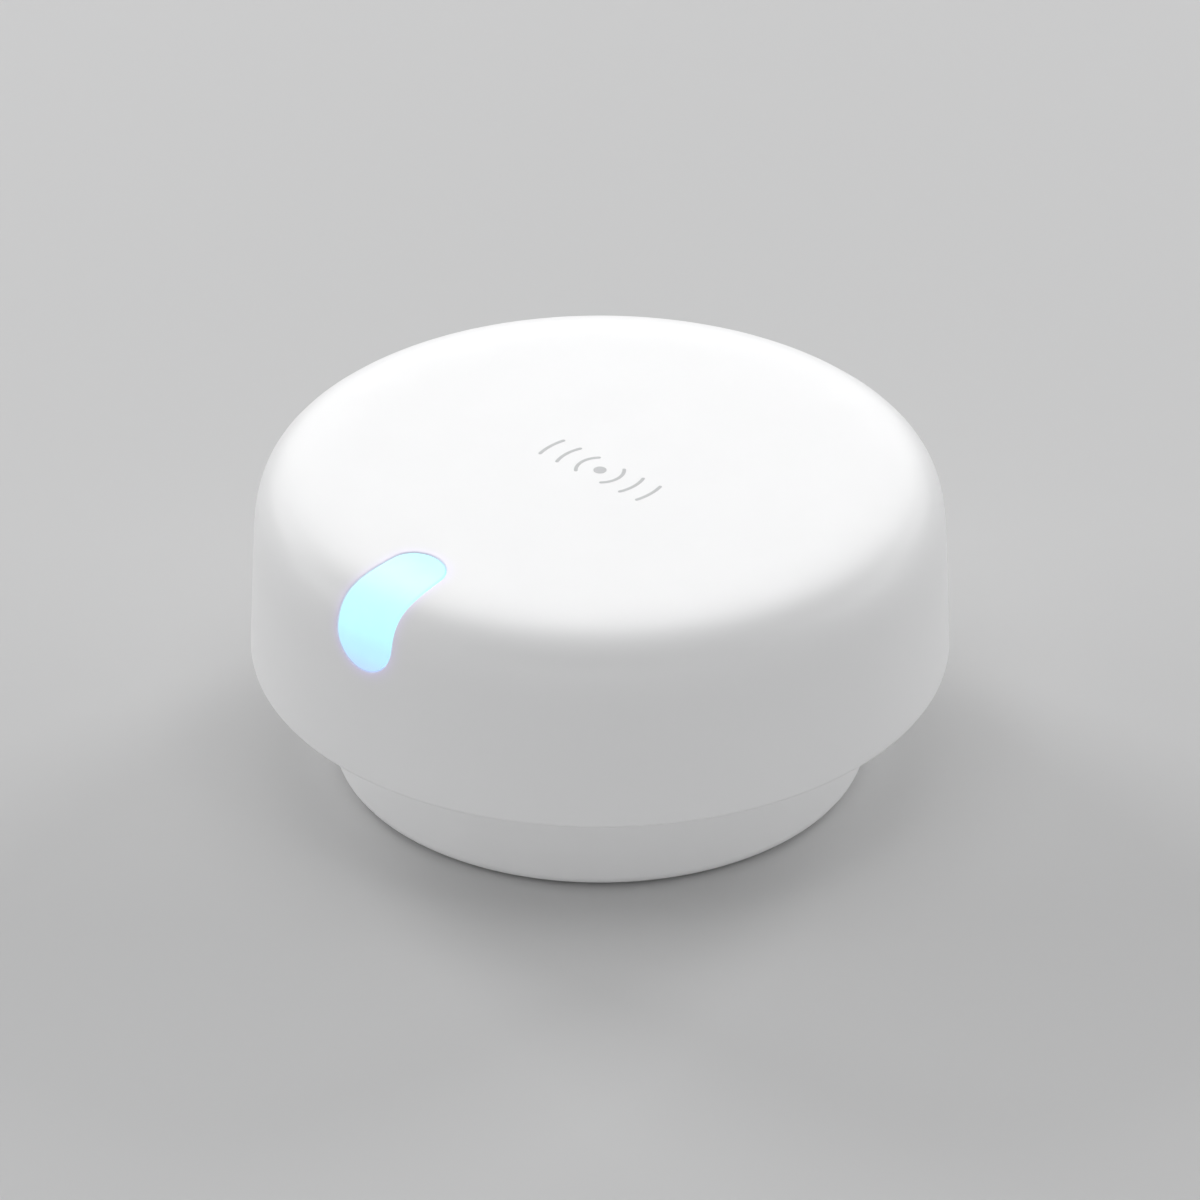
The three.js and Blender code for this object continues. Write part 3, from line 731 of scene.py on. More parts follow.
def buildCover():
    turns, wall, rim = coverSet["turns"], coverSet["wall"], coverSet["rimRound"]
    sideStart = lineLengths[coverSet["rimSteps"]]
    cornerStart = lengthAtHeight(coverSet["sideTop"][1])
    faceStart = lengthAtRadius(coverSet["faceRadius"])
    places = [lineLengths[k] for k in (0, 3, 6, 9)]
    for start, end, rows in ((sideStart, cornerStart, coverSet["sideRows"]),
                             (cornerStart, faceStart, coverSet["cornerRows"])):
        places += [start + (end - start) * k / rows for k in range(rows)]
    places += [faceStart + further for further in coverSet["faceRows"]]
    flatLine = 31.5  # radius that turns sideways angles into flat lengths for the triangulation
    openings = [pillOpening(), socketOpening(), buttonOpening()]
    vertices, faces = [], []

    def ringAt(s, depth):
        start = len(vertices)
        vertices.extend(onCover(s, 2 * math.pi * j / turns, depth) for j in range(turns))
        return list(range(start, start + turns))

    def sheet(rowPlaces, depth, flip):
        rows = [ringAt(s, depth) for s in rowPlaces]
        holes = []
        for opening in openings:
            rings = opening.outerRings if depth == 0 else [opening.innerRing]
            widest = rings[0]
            reach = max(abs(angle) for _, angle in widest) + holeRoom["side"] / flatLine
            lowest = min(s for s, _ in widest) - holeRoom["row"]
            highest = max(s for s, _ in widest) + holeRoom["row"]
            firstRow = max(i for i, s in enumerate(rowPlaces) if s < lowest)
            lastRow = min(i for i, s in enumerate(rowPlaces) if s > highest)
            step = 2 * math.pi / turns
            firstColumn = math.floor((opening.azimuth - reach) / step)
            lastColumn = math.ceil((opening.azimuth + reach) / step)
            holes.append((opening, rings, firstRow, lastRow, firstColumn, lastColumn))
        skipped = set()
        for _, _, i0, i1, j0, j1 in holes:
            skipped |= {(i, j % turns) for i in range(i0, i1) for j in range(j0, j1)}
        made = []
        for i in range(len(rows) - 1):
            for j in range(turns):
                if (i, j) not in skipped:
                    k = (j + 1) % turns
                    made.append([rows[i][j], rows[i][k], rows[i + 1][k], rows[i + 1][j]])
        inner = []
        for opening, rings, i0, i1, j0, j1 in holes:
            numbered = []
            for ring in rings:
                start = len(vertices)
                vertices.extend(onCover(s, opening.azimuth + angle, depth) for s, angle in ring)
                numbered.append(list(range(start, start + len(ring))))

            def spot(i, j):
                flatX = (2 * math.pi * j / turns - opening.azimuth) * flatLine
                return (flatX, rowPlaces[i], rows[i][j % turns])

            border = [spot(i0, j) for j in range(j0, j1)] + [spot(i, j1) for i in range(i0, i1)]
            border += [spot(i1, j) for j in range(j1, j0, -1)] + [spot(i, j0) for i in range(i1, i0, -1)]
            widest = [(angle * flatLine, s, n) for (s, angle), n in zip(rings[0], numbered[0])]
            line = [p[:2] for p in widest]
            loose = [spot(i, j) for i in range(i0 + 1, i1) for j in range(j0 + 1, j1)]
            loose = [p for p in loose
                     if not insideLine(*p[:2], line) and distanceTo(*p[:2], line) > holeRoom["loose"]]
            made += triangulate(border, widest, loose)
            turnsLeft = sum(x0 * y1 - x1 * y0 for (x0, y0), (x1, y1) in zip(line, line[1:] + line[:1])) > 0
            for first, second in zip(numbered, numbered[1:]):
                made += flipped(stripBetween(first, second), not turnsLeft)
            inner.append((numbered[-1], turnsLeft))
        pole = len(vertices)
        vertices.append(Vector((0, 0, headTop - depth)))
        made += [[rows[-1][j], rows[-1][(j + 1) % turns], pole] for j in range(turns)]
        faces.extend(flipped(made, flip))
        return rows[0], inner

    outerEdge, outerHoles = sheet(places, 0, False)
    innerEdge, innerHoles = sheet(places[4:], wall, True)
    for opening, (outerRing, turnsLeft), (innerRing, _) in zip(openings, outerHoles, innerHoles):
        previous = outerRing
        for ring in opening.throat:
            start = len(vertices)
            vertices.extend(ring)
            here = list(range(start, start + len(ring)))
            faces.extend(flipped(stripBetween(previous, here), not turnsLeft))
            previous = here
        faces.extend(flipped(stripBetween(previous, innerRing), not turnsLeft))
    mouthStart = len(vertices)
    mouthRadius = alongCover(places[4])[0] - wall
    for radius, height in ((mouthRadius, headBottom + rim * 0.3), (mouthRadius + rim * 0.3, headBottom)):
        vertices.extend(polar(radius, 2 * math.pi * j / turns, height) for j in range(turns))
    upper = list(range(mouthStart, mouthStart + turns))
    lower = list(range(mouthStart + turns, mouthStart + 2 * turns))
    faces.extend(stripBetween(lower, outerEdge))
    faces.extend(stripBetween(upper, lower))
    faces.extend(stripBetween(innerEdge, upper))
    return vertices, faces


def paintHalo(piece):
    # how close each point of the cover is to the indicator's outline, which sets the strength of the painted glow
    halo = piece.data.attributes.new("halo", "FLOAT", "POINT")
    line = pillLine(0)
    middle = math.radians(pillSet["azimuth"])
    for vertex, spot in zip(piece.data.vertices, halo.data):
        x, y, z = vertex.co / mm
        spot.value = 0.0
        radius = math.hypot(x, y)
        sideways = (math.atan2(y, x) - middle) * radius
        if radius < haloSet["fromRadius"] or abs(sideways) > haloSet["sideways"]:
            continue
        s = nearestLength(radius, z)
        away = 0.0 if insideLine(s, sideways, line) else distanceTo(s, sideways, line)
        spot.value = math.exp(-((away / haloSet["reach"]) ** haloSet["fall"]))


def nearestLength(radius, z):
    # length along the outline closest to a point
    here = Vector((radius, z))
    best = min(range(len(lineOfCover)), key=lambda i: (Vector(lineOfCover[i]) - here).length_squared)
    found = (1e9, 0.0)
    for i in range(max(best - 1, 0), min(best + 1, len(lineOfCover) - 1)):
        a, b = Vector(lineOfCover[i]), Vector(lineOfCover[i + 1])
        t = max(0.0, min(1.0, (here - a).dot(b - a) / (b - a).length_squared))
        found = min(found, ((a.lerp(b, t) - here).length, lineLengths[i] + (b - a).length * t))
    return found[1]


cover = finishMesh("front_cover_shell", *buildCover(), coverWhite)
paintHalo(cover)
hand(cover, "head", "cover_white", "front_cover")
print("front cover made:", len(cover.data.polygons), "faces")


# indicator lens, in the cover's own curve

def buildLens():
    gap, edge, thick = pillSet["gap"], pillSet["lensEdge"], pillSet["thickness"]
    vertices, faces, rings = [], [], []
    levels = [(-gap - edge - 0.5, 0), (-gap - edge - 0.2, 0)]
    levels += [(-gap - edge + edge * math.sin(a), edge * (1 - math.cos(a))) for a in arcAngles(0, 90, 4)]
    levels += [(-gap, thick * 0.5), (-gap, thick)]
    for grow, depth in levels:
        start = len(vertices)
        line = pillLine(grow)
        vertices += [pillPoint(s, w, depth) for s, w in line]
        rings.append(list(range(start, start + len(line))))
    for first, second in zip(rings, rings[1:]):
        faces += flipped(stripBetween(first, second))
    ends = ((rings[0], levels[0][0], 0, False), (rings[-1], levels[-1][0], thick, True))
    for ring, grow, depth, flip in ends:
        border = [(w, s, n) for (s, w), n in zip(pillLine(grow), ring)]
        line = [p[:2] for p in border]
        loose = []
        step = pillSet["backGrid"] if flip else pillSet["frontGrid"]
        rows = int((pillHigh - pillLow) / step)
        columns = int(pillSet["halfWidth"] / step) + 1
        for i in range(1, rows):
            for j in range(-columns, columns + 1):
                s, w = pillLow + i * step, j * step
                if insideLine(w, s, line) and distanceTo(w, s, line) > step * 0.5:
                    loose.append((w, s, len(vertices)))
                    vertices.append(pillPoint(s, w, depth))
        faces += flipped(triangulate(border, [], loose), flip)
    return vertices, faces


def paintAlong(piece):
    # 0 at the lens's lower tip, 1 at its upper tip
    along = piece.data.attributes.new("along", "FLOAT", "POINT")
    for vertex, spot in zip(piece.data.vertices, along.data):
        x, y, z = vertex.co / mm
        s = nearestLength(math.hypot(x, y), z)
        spot.value = max(0.0, min(1.0, (s - pillLow) / (pillHigh - pillLow)))


lens = finishMesh("indicator_lens", *buildLens(), lensLit)
paintAlong(lens)
hand(lens, "head", "indicator_lens", "light_guide")
print("indicator lens made:", len(lens.data.polygons), "faces")


# printed sign in the middle of the face: a dot with arcs to either side, for sensing all round

signSet = {"radii": (2.2, 4.2, 6.2), "halfHeight": 1.55, "stroke": 0.34, "dot": 0.6, "film": 0.012}


def buildSign():
    vertices, faces = [], []
    low, high = headTop - 0.004, headTop + signSet["film"]
    half = signSet["stroke"] / 2

    def addShape(outline):
        points, sides = prism(outline, low, high)
        start = len(vertices)
        vertices.extend(points)
        faces.extend([[v + start for v in f] for f in sides])

    addShape(wholeCircle(signSet["dot"], (0, 0), 40))
    for radius in signSet["radii"]:
        reach = math.degrees(math.asin(signSet["halfHeight"] / radius))
        for middle in (0, 180):
            first, last = middle - reach, middle + reach
            lastEnd = polar(radius, math.radians(last)).xy
            firstEnd = polar(radius, math.radians(first)).xy
            addShape(circleLine(radius + half, (0, 0), first, last, 24)
                     + circleLine(half, lastEnd, last, last + 180, 8)[1:-1]
                     + circleLine(radius - half, (0, 0), last, first, 24)
                     + circleLine(half, firstEnd, first + 180, first + 360, 8)[1:-1])
    return vertices, faces


sign = finishMesh("printed_sign", *buildSign(), printGrey, weighted=False)
hand(sign, "head", "cover_white")
print("printed sign made")


# foot shell with its hinge knuckles

footSet = {"wall": 1.5, "bottomRound": 1.2, "topRound": 0.35, "knuckle": 2.3, "bore": 1.0,
           "middle": 2.0, "outerFrom": 5.2, "outerTo": 6.8, "slotReach": 3.1, "backReach": 1.3,
           "bridgeHalf": 8.2, "bridgeFrom": 17.8, "bridgeTo": 22.9, "bridgeLow": 5.3}
pastFoot = 40.0  # anywhere beyond the foot's edge
footLow, footHigh = boxOf("foot_shell")
footRadius = footHigh.x
plateHigh = boxOf("swivel_plate")[1]
backHigh = boxOf("back_cover")[1]
footTop = headBottom - 0.3
footBack = hinge.y + footSet["backReach"]


def buildFootShell():
    wall, low, r = footSet["wall"], footLow.z, footRadius
    profile = filleted([
        (0, footTop - wall, 0), (r - wall, footTop - wall, 0.4), (r - wall, low, 0),
        (r, low, footSet["bottomRound"]), (r, footTop, footSet["topRound"]), (0, footTop, 0)], 6)
    drum = revolved(profile, 240)
    knuckle, reach = footSet["knuckle"], footSet["slotReach"]
    bridgeLow = (-footSet["bridgeHalf"], footSet["bridgeFrom"], footSet["bridgeLow"])
    bridgeHigh = (footSet["bridgeHalf"], footSet["bridgeTo"], footTop - 0.5)
    cuts = [("UNION", brick(bridgeLow, bridgeHigh))]
    cuts.append(("DIFFERENCE", brick((-12, footBack, -1), (12, pastFoot, footTop + 1))))
    corner = circleLine(footBack - hinge.y, hinge.yz, 0, 90, 10)
    corner += [(hinge.y, footTop + 1), (pastFoot, footTop + 1), (pastFoot, hinge.z)]
    cuts.append(("DIFFERENCE", alongX(corner, -14, 14)))
    spare = 0.3  # the knuckles start over-long and the ear slots trim them
    for start, end in ((-footSet["middle"] - spare, footSet["middle"] + spare),
                       (footSet["outerFrom"] - spare, footSet["outerTo"]),
                       (-footSet["outerTo"], -footSet["outerFrom"] + spare)):
        cuts.append(("UNION", rod(knuckle, start, end)))
    near, far = footSet["middle"], footSet["outerFrom"]
    for start, end in ((near, far), (-far, -near)):
        slot = brick((start, hinge.y - reach, hinge.z - reach), (end, pastFoot, footTop + 3))
        cuts.append(("DIFFERENCE", slot))
    cuts.append(("DIFFERENCE", rod(footSet["bore"], -12, 12, 32)))
    return moulded("foot_housing", drum, baseWhite, cuts)


def alongX(outline, start, end):
    # an outline in (y, z) drawn out along X
    vertices, faces = prism(outline, start, end)
    return [(z, x, y) for x, y, z in vertices], faces


footHousing = buildFootShell()
hand(footHousing, "foot", "base_white", "foot_shell")
print("foot housing made:", len(footHousing.data.polygons), "faces")


# swivel plate with its two hinge ears

plateSet = {
    "headHole": 3.6, "headSeat": 12.9, "hole": 1.8, "washerPocket": 5.0, "washerSeat": 13.7,
    "stopCircle": 9.5, "stopRadius": 1.0, "clear": 0.3, "edge": 0.25, "earFrom": 2.8, "earTo": 4.8,
    "stopGroove": 1.2, "stopReach": 0.9, "earRoot": 1.6,
}


def buildSwivelPlate():
    p, low, high, r = plateSet, headBottom, plateHigh.z, plateHigh.x
    profile = filleted([
        (p["headHole"], low, 0.2), (r, low, p["edge"]), (r, high, 0.2), (p["washerPocket"], high, 0.15),
        (p["washerPocket"], p["washerSeat"], 0), (p["hole"], p["washerSeat"], 0.1),
        (p["hole"], p["headSeat"], 0), (p["headHole"], p["headSeat"], 0)], 5)
    room = p["stopRadius"] + p["clear"]
    half = math.degrees(room / p["stopCircle"]) + 90
    inner, outer = p["stopCircle"] - room, p["stopCircle"] + room
    track = circleLine(outer, (0, 0), 90 - half, 90 + half, 60)
    track += circleLine(inner, (0, 0), 90 + half, 90 - half, 60)
    groove = footSet["outerTo"] + p["clear"]
    cuts = [("DIFFERENCE", prism(track, high - p["stopGroove"], high + 2)),
            ("DIFFERENCE", rod(footSet["knuckle"] + p["clear"], -groove, groove))]
    knuckle, root = footSet["knuckle"], low + p["earRoot"]
    ear = circleLine(knuckle, hinge.yz, 180, 336, 40)
    ear += [(ear[-1][0], root), (hinge.y - knuckle, root)]
    for start, end in ((-p["earTo"], -p["earFrom"]), (p["earFrom"], p["earTo"])):
        cuts.append(("UNION", alongX(ear, start, end)))
    cuts.append(("DIFFERENCE", rod(footSet["bore"], -p["earTo"] - 1, p["earTo"] + 1, 32)))
    return moulded("turning_plate", revolved(profile, 216), baseWhite, cuts)


turningPlate = buildSwivelPlate()
hand(turningPlate, "yoke", "base_white", "swivel_plate")
print("swivel plate made:", len(turningPlate.data.polygons), "faces")


# back cover, closing the head from below

backSet = {
    "flangeTop": 12.9, "pocket": 26.7, "pocketTop": 14.7, "wall": 1.3, "bore": 2.9, "boss": 4.2,
    "postCircle": 21.0, "postAngles": (40, 100, 220, 320), "sink": 2.4, "screwSeat": 15.4, "hole": 1.1,
}


def buildBackCover():
    b = backSet
    ceiling, inner, edge = b["pocketTop"] + b["wall"], b["pocket"], backHigh.x
    profile = filleted([
        (b["bore"], b["pocketTop"], 0.1), (inner, b["pocketTop"], 0.4), (inner, headBottom, 0.25),
        (edge, headBottom, 0.25), (edge, b["flangeTop"], 0.1), (inner + b["wall"], b["flangeTop"], 0),
        (inner + b["wall"], ceiling, 0.3), (b["boss"], ceiling, 0), (b["boss"], backHigh.z, 0.2),
        (b["bore"], backHigh.z, 0.1)], 5)
    cuts = []
    for angle in b["postAngles"]:
        centre = polar(b["postCircle"], math.radians(angle)).xy
        for radius, top in ((b["sink"], b["screwSeat"]), (b["hole"], ceiling + 1)):
            cuts.append(("DIFFERENCE", prism(wholeCircle(radius, centre), b["pocketTop"] - 1, top)))
    stop = wholeCircle(plateSet["stopRadius"], (0, plateSet["stopCircle"]))
    cuts.append(("UNION", prism(stop, plateHigh.z - plateSet["stopReach"], b["pocketTop"] + 0.5)))
    return moulded("rear_cover", revolved(profile, 216), coverWhite, cuts)


rearCover = buildBackCover()
hand(rearCover, "head", "cover_white", "back_cover")
print("back cover made:", len(rearCover.data.polygons), "faces")


# foot bottom plate

bottomLow, bottomHigh = boxOf("foot_bottom")
padLow, padHigh = boxOf("grip_pad")
bottomSet = {"recessTop": 1.1, "recess": 21.4, "plateTop": 2.9, "peg": 1.6, "postCircle": 18.5,
             "postAngles": (30, 150, 270), "sink": 2.3, "sinkTop": 2.2, "hole": 1.1}


def buildFootBottom():
    b, r = bottomSet, bottomHigh.x
    profile = filleted([
        (0, b["recessTop"], 0), (b["recess"], b["recessTop"], 0), (b["recess"], bottomLow.z, 0.15),
        (r, bottomLow.z, 0.3), (r, b["plateTop"], 0.1), (b["peg"], b["plateTop"], 0.1),
        (b["peg"], bottomHigh.z, 0.2), (0, bottomHigh.z, 0)], 5)
    cuts = []
    for angle in b["postAngles"]:
        centre = polar(b["postCircle"], math.radians(angle)).xy
        for radius, top in ((b["sink"], b["sinkTop"]), (b["hole"], 4)):
            cuts.append(("DIFFERENCE", prism(wholeCircle(radius, centre), 0, top)))
    return moulded("foot_cover", revolved(profile, 216), footGrey, cuts)


footCover = buildFootBottom()
hand(footCover, "foot", "foot_grey", "foot_bottom")
print("foot bottom made:", len(footCover.data.polygons), "faces")


# node-built patterns: trees with named inputs, applied to a plain mesh

def patternTree(name, lengths, **others):
    # named inputs: plain lengths, then others by kind, and always the finish
    tree = bpy.data.node_groups.new(name, "GeometryNodeTree")
    tree.interface.new_socket("Geometry", in_out="INPUT", socket_type="NodeSocketGeometry")
    sockets = [(label, "Float") for label in lengths] + list(others.items()) + [("Finish", "Material")]
    for label, kind in sockets:
        tree.interface.new_socket(label, in_out="INPUT", socket_type="NodeSocket" + kind)
    tree.interface.new_socket("Geometry", in_out="OUTPUT", socket_type="NodeSocketGeometry")
    start, end = tree.nodes.new("NodeGroupInput"), tree.nodes.new("NodeGroupOutput")
    return tree, start.outputs, end.inputs["Geometry"]


def sums(tree, operation, first, second):
    return wire(tree, "ShaderNodeMath", {0: first, 1: second}, operation=operation)


def vectorOf(tree, **parts):
    return wire(tree, "ShaderNodeCombineXYZ", parts)


def endPattern(tree, parts, finish, output):
    joined = addNode(tree, "GeometryNodeJoinGeometry")
    for part in parts:
        tree.links.new(part, joined.inputs["Geometry"])
    real = wire(tree, "GeometryNodeRealizeInstances", {"Geometry": joined.outputs[0]})
    tree.links.new(wire(tree, "GeometryNodeSetMaterial", {"Geometry": real, "Material": finish}), output)


def patterned(piece, tree, values):
    pattern = piece.modifiers.new("pattern", "NODES")
    pattern.node_group = tree
    for socket in tree.interface.items_tree:
        if socket.in_out == "INPUT" and socket.name in values:
            pattern[socket.identifier] = values[socket.name]
    settled(piece, pattern)
    smoothed(piece.data)


# rubber grip pad: shallow studs in rows across its underside

padSet = {"spacing": 1.9, "stud": 0.6, "rise": 0.32, "margin": 1.6, "edge": 0.18}


def studTree():
    tree, given, output = patternTree(
        "gripStuds", ("Spacing", "Stud radius", "Stud rise", "Field radius", "Underside"))
    across = sums(tree, "MULTIPLY", given["Field radius"], 2.0)
    steps = sums(tree, "FLOOR", sums(tree, "DIVIDE", across, given["Spacing"]), 0.0)
    count = sums(tree, "ADD", steps, 1.0)
    size = sums(tree, "MULTIPLY", steps, given["Spacing"])
    grid = wire(tree, "GeometryNodeMeshGrid", {
        "Size X": size, "Size Y": size, "Vertices X": count, "Vertices Y": count})
    place = wire(tree, "GeometryNodeInputPosition")
    reach = addNode(tree, "ShaderNodeVectorMath", {0: place}, operation="LENGTH").outputs["Value"]
    outside = wire(tree, "FunctionNodeCompare", {"A": reach, "B": given["Field radius"]},
                   data_type="FLOAT", operation="GREATER_THAN")
    kept = wire(tree, "GeometryNodeDeleteGeometry", {"Geometry": grid, "Selection": outside},
                domain="POINT")
    stud = wire(tree, "GeometryNodeMeshUVSphere", {
        "Segments": 16, "Rings": 8, "Radius": given["Stud radius"]})
    squash = vectorOf(tree, X=1, Y=1, Z=sums(tree, "DIVIDE", given["Stud rise"], given["Stud radius"]))
    studs = wire(tree, "GeometryNodeInstanceOnPoints", {"Points": kept, "Instance": stud, "Scale": squash})
    drop = vectorOf(tree, Z=given["Underside"])
    placed = wire(tree, "GeometryNodeTransform", {"Geometry": studs, "Translation": drop})
    endPattern(tree, [given["Geometry"], placed], given["Finish"], output)
    return tree


def buildGripPad():
    r, under = padHigh.x, padLow.z + padSet["rise"]
    corners = [(0, under, 0), (r, under, padSet["edge"]), (r, padHigh.z, 0.1), (0, padHigh.z, 0)]
    pad = finishMesh("rubber_pad", *revolved(filleted(corners, 5), 216), gripRubber, weighted=False)
    patterned(pad, studTree(), {
        "Spacing": padSet["spacing"] * mm,
        "Stud radius": padSet["stud"] * mm,
        "Stud rise": padSet["rise"] * mm,
        "Field radius": (r - padSet["margin"]) * mm,
        "Underside": under * mm,
        "Finish": gripRubber,
    })
    return pad


rubberPad = buildGripPad()
hand(rubberPad, "foot", "grip_rubber", "grip_pad")
print("grip pad made:", len(rubberPad.data.polygons), "faces")


# screws: pan head with a cross recess, the thread wound round the shank by nodes

screwSet = {"pitch": 0.55, "thread": 0.11, "recess": 0.62, "slot": 0.22,
            "tip": 0.3, "bare": 0.9, "threadFrom": 0.3}


def threadTree():
    tree, given, output = patternTree(
        "screwThread", ("Shank radius", "Shank length", "Shank foot", "Pitch", "Thread depth"))
    wound = wire(tree, "GeometryNodeCurveSpiral", {
        "Resolution": 24,
        "Rotations": sums(tree, "DIVIDE", given["Shank length"], given["Pitch"]),
        "Start Radius": given["Shank radius"],
        "End Radius": given["Shank radius"],
        "Height": given["Shank length"],
    })
    section = wire(tree, "GeometryNodeCurvePrimitiveCircle", {
        "Resolution": 4, "Radius": given["Thread depth"]})
    ridge = wire(tree, "GeometryNodeCurveToMesh", {
        "Curve": wound, "Profile Curve": section, "Fill Caps": True})
    lift = vectorOf(tree, Z=given["Shank foot"])
    placed = wire(tree, "GeometryNodeTransform", {"Geometry": ridge, "Translation": lift})
    endPattern(tree, [given["Geometry"], placed], given["Finish"], output)
    return tree


screwThread = threadTree()


def buildScrew(name, node, body, headTall, shank):
    low, high = boxOf(node)
    radius, total = (high.x - low.x) / 2, high.z - low.z
    profile = filleted([
        (0, 0, 0), (radius, 0, headTall * 0.4), (radius, headTall, 0.05), (shank, headTall, 0.1),
        (shank, total - screwSet["tip"], 0), (shank * 0.45, total, 0), (0, total, 0)], 4)
    screw = finishMesh(name, *revolved(profile, 48), screwSteel, weighted=False)
    reach, half, deep = radius * screwSet["recess"], radius * screwSet["slot"] / 2, headTall * 0.6
    carve(screw, brick((-reach, -half, -1), (reach, half, deep)))
    carve(screw, brick((-half, -reach, -1), (half, reach, deep)))
    patterned(screw, screwThread, {
        "Shank radius": shank * mm,
        "Shank length": (total - headTall - screwSet["bare"]) * mm,
        "Shank foot": (headTall + screwSet["threadFrom"]) * mm,
        "Pitch": screwSet["pitch"] * mm,
        "Thread depth": screwSet["thread"] * mm,
        "Finish": screwSteel,
    })
    middle = (low + high) / 2
    screw.data.transform(Matrix.Translation(Vector((middle.x, middle.y, low.z)) * mm))
    hand(screw, body, "screw_steel", node)


for i in (1, 2, 3, 4):
    buildScrew(f"cover_screw_{i}", f"back_screw_{i}", "head", 0.5, 0.78)
for i in (1, 2, 3):
    buildScrew(f"bottom_screw_{i}", f"foot_screw_{i}", "foot", 0.8, 0.78)
buildScrew("pivot_screw", "swivel_screw", "head", 1.2, 1.46)
print("screws made")


# small turned parts: hinge pin, washers, ballast ring, rim seal

def alongHinge(piece, x=0.0):
    turn = Matrix.Translation((hinge + Vector((x, 0, 0))) * mm) @ Matrix.Rotation(math.pi / 2, 4, "Y")
    piece.data.transform(turn)


def turnedPart(name, corners, finish, turns=96, steps=4):
    return finishMesh(name, *revolved(filleted(corners, steps), turns), finish)


pinLow, pinHigh = boxOf("hinge_pin")
pinRadius, pinHalf = (pinHigh.z - pinLow.z) / 2, pinHigh.x
pinCorners = [(0, -pinHalf, 0), (pinRadius, -pinHalf, 0.25), (pinRadius, pinHalf, 0.25), (0, pinHalf, 0)]
hingePin = turnedPart("hinge_axle", pinCorners, screwSteel, 48)
alongHinge(hingePin)
hand(hingePin, "foot", "screw_steel", "hinge_pin")

for i in (1, 2):
    low, high = boxOf(f"friction_washer_{i}")
    half, outer = (high.x - low.x) / 2, (high.z - low.z) / 2
    inner = pinRadius + 0.15
    corners = [(inner, -half, 0.05), (outer, -half, 0.08), (outer, half, 0.08), (inner, half, 0.05)]
    washer = turnedPart(f"hinge_washer_{i}", corners, plainBrass, 64)
    alongHinge(washer, (low.x + high.x) / 2)
    hand(washer, "foot", "brass", f"friction_washer_{i}")

for name, node, body, slot, finish, bore in (
        ("pivot_washer", "swivel_washer", "yoke", "acetal", acetalPlain, plateSet["hole"]),
        ("ballast_ring", "weight_plate", "foot", "weight_steel", weightSteel, 1.9),
        ("rim_seal", "cover_seal", "head", "seal_rubber", sealRubber, 28.4)):
    low, high = boxOf(node)
    edge = (high.z - low.z) * 0.2
    corners = [(bore, low.z, edge), (high.x, low.z, edge), (high.x, high.z, edge), (bore, high.z, edge)]
    hand(turnedPart(name, corners, finish, 144), body, slot, node)
print("turned parts made")


# button in the side wall, crowned a little on its face

def buildButton():
    b, r = buttonSet, buttonSet["radius"]
    corners = [(0, b["pusherEnd"], 0), (1, b["pusherEnd"], 0.2), (1, b["flangeBack"], 0),
               (b["flange"], b["flangeBack"], 0.1), (b["flange"], b["flangeFront"], 0.1),
               (r, b["flangeFront"], 0)]
    crown = circleLine(b["crownEdge"], (r - b["crownEdge"], b["face"] - b["crownEdge"] - 0.1), 0, 75, 6)
    edgeX, edgeZ = crown[-1]
    for k in range(1, 9):
        inwards = 1 - k / 8
        crown.append((edgeX * inwards, edgeZ + (b["face"] - edgeZ) * (1 - inwards * inwards)))
    vertices, faces = revolved(filleted(corners, 4) + crown, 72)
    turn = Matrix.Rotation(math.radians(b["azimuth"]), 4, "Z") @ Matrix.Translation((0, 0, buttonZ))
    turn = turn @ Matrix.Rotation(math.pi / 2, 4, "Y")
    return finishMesh("side_button", [turn @ Vector(v) for v in vertices], faces, buttonWhite)


sideButton = buildButton()
hand(sideButton, "button", "button_white", "button_cap")
print("button made")


# power socket: drawn steel shell, black tongue, gold contacts laid out by nodes

def buildSocketShell():
    lip, front, back = socketSet["lip"], -socketLow.x, -socketHigh.x
    outer = slotOutline(socketHigh.y - socketLow.y, socketHigh.z - socketLow.z, 24)
    inner = grown(outer, -socketSet["wall"])
    rings = [
        (outer, back), (outer, front - lip), (grown(outer, -0.04), front - 0.03),
        (grown(outer, -lip), front), (grown(inner, 0.08), front),
        (inner, front - 0.1), (inner, back + 1),
    ]
    vertices, numbered, faces = [], [], []
    for outline, distance in rings:
        numbered.append(list(range(len(vertices), len(vertices) + len(outline))))
        vertices += [sidePoint(math.pi, across, up + socketZ, distance) for across, up in outline]
    for first, second in zip(numbered, numbered[1:]):
        faces += stripBetween(first, second)
    faces.append(numbered[0][::-1])
    faces.append(numbered[-1])
    return finishMesh("socket_shell", vertices, faces, socketSteel)


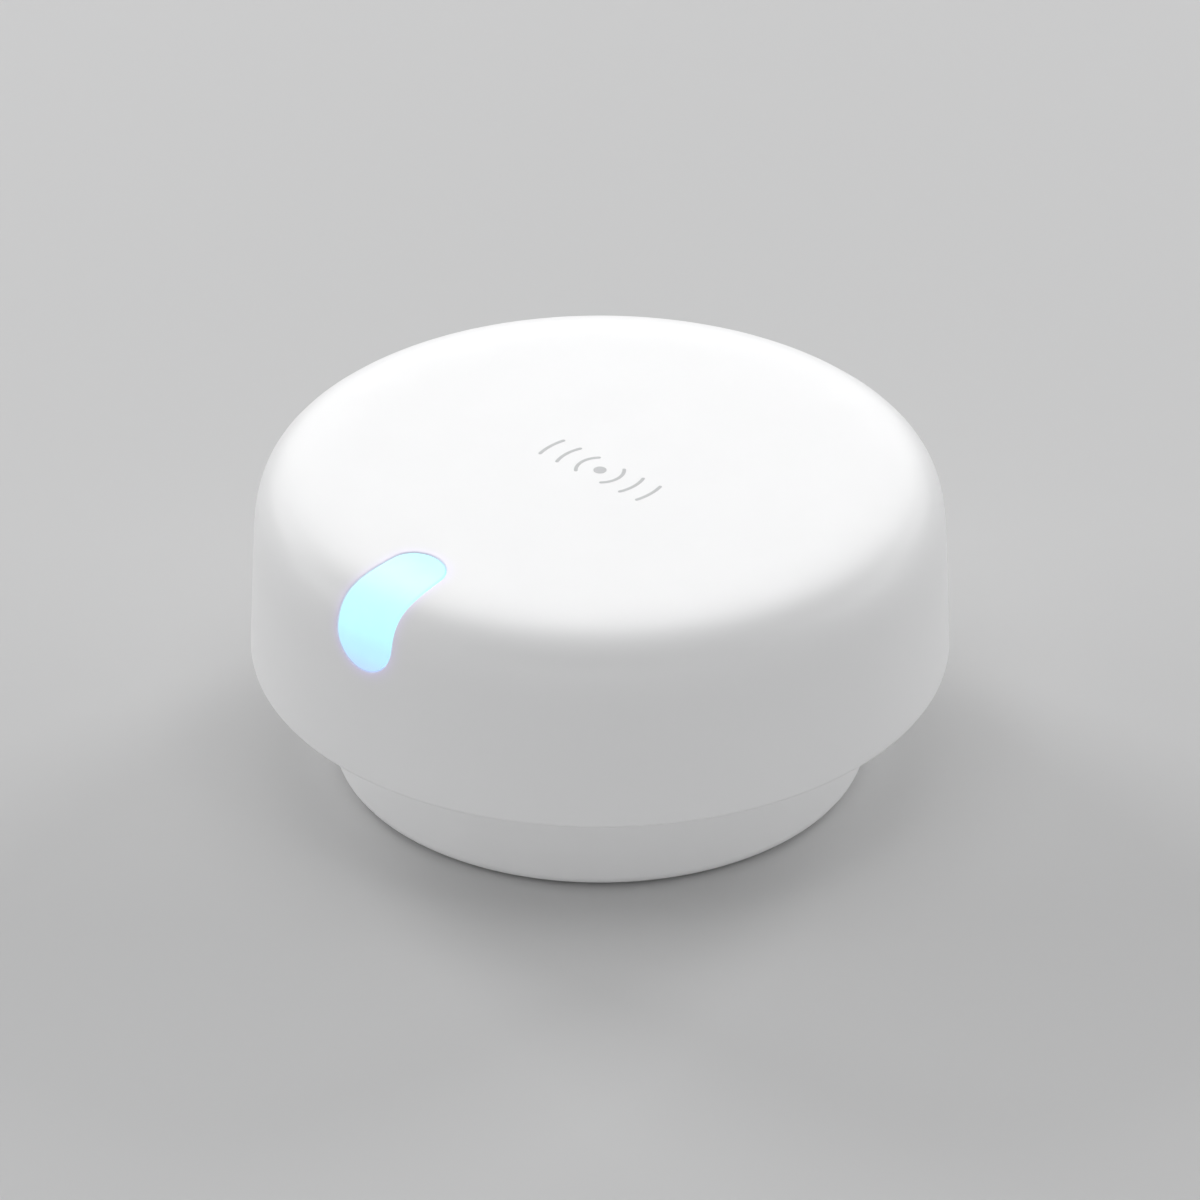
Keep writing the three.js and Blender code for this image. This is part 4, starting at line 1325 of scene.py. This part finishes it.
def contactTree():
    tree, given, output = patternTree(
        "contactRows", ("Pitch", "Half thickness"), Count="Int", Contact="Vector", Middle="Vector")
    step = vectorOf(tree, Y=given["Pitch"])
    run = sums(tree, "MULTIPLY", sums(tree, "SUBTRACT", given["Count"], 1.0), given["Pitch"])
    contact = wire(tree, "GeometryNodeMeshCube", {"Size": given["Contact"]})
    rows = []
    for side in (1.0, -1.0):
        height = sums(tree, "MULTIPLY", given["Half thickness"], side)
        start = vectorOf(tree, Y=sums(tree, "MULTIPLY", run, -0.5), Z=height)
        line = wire(tree, "GeometryNodeMeshLine", {
            "Count": given["Count"], "Start Location": start, "Offset": step})
        row = wire(tree, "GeometryNodeInstanceOnPoints", {"Points": line, "Instance": contact})
        placed = wire(tree, "GeometryNodeTransform", {"Geometry": row, "Translation": given["Middle"]})
        rows.append(placed)
    endPattern(tree, rows, given["Finish"], output)
    return tree


tongueSet = {
    "half": 3.3, "thickness": 0.7, "setBack": 0.8, "contacts": 12, "pitch": 0.5,
    "contact": (3.0, 0.26, 0.05), "contactMiddle": 2.1,
}


def buildTongue():
    t, front, back = tongueSet, -socketLow.x - tongueSet["setBack"], -socketHigh.x + 0.5
    half = t["thickness"] / 2
    block = brick((-front, -t["half"], socketZ - half), (-back, t["half"], socketZ + half))
    tongue = moulded("socket_tongue", block, blackPlastic, [], 0.12)
    contacts = finishMesh("socket_contacts", *block, contactGold, weighted=False)
    patterned(contacts, contactTree(), {
        "Count": t["contacts"],
        "Pitch": t["pitch"] * mm,
        "Half thickness": half * mm,
        "Contact": [side * mm for side in t["contact"]],
        "Middle": ((t["contactMiddle"] - front) * mm, 0.0, socketZ * mm),
        "Finish": contactGold,
    })
    return tongue, contacts


socketShell = buildSocketShell()
hand(socketShell, "head", "socket_steel", "usb_socket")
socketTongue, socketContacts = buildTongue()
hand(socketTongue, "head", "component_black")
hand(socketContacts, "head", "brass")
print("power socket made")


halfFloor = floorSet["size"] / 2
slab = brick((-halfFloor, -halfFloor, -floorSet["thickness"]), (halfFloor, halfFloor, -floorSet["drop"]))
floor = finishMesh("floor", *slab, floorPaper(), weighted=False)

carried = {
    "board_green": boardGreen, "component_black": blackEpoxy, "shroud_black": blackPlastic,
    "led_clear": ledResin, "can_steel": canSteel, "screw_steel": screwSteel, "socket_steel": socketSteel,
    "weight_steel": weightSteel, "brass": plainBrass, "acetal": acetalPlain, "seal_rubber": sealRubber,
    "grip_rubber": gripRubber, "foot_grey": footGrey, "base_white": baseWhite, "cover_white": coverWhite,
    "button_white": buttonWhite, "indicator_lens": lensLit,
}
for row in frame["record"]["subparts"]:
    node = frame["nodes"][row["node"]]
    for slot in node.material_slots:
        slot.material = carried[row["material_slot"]]
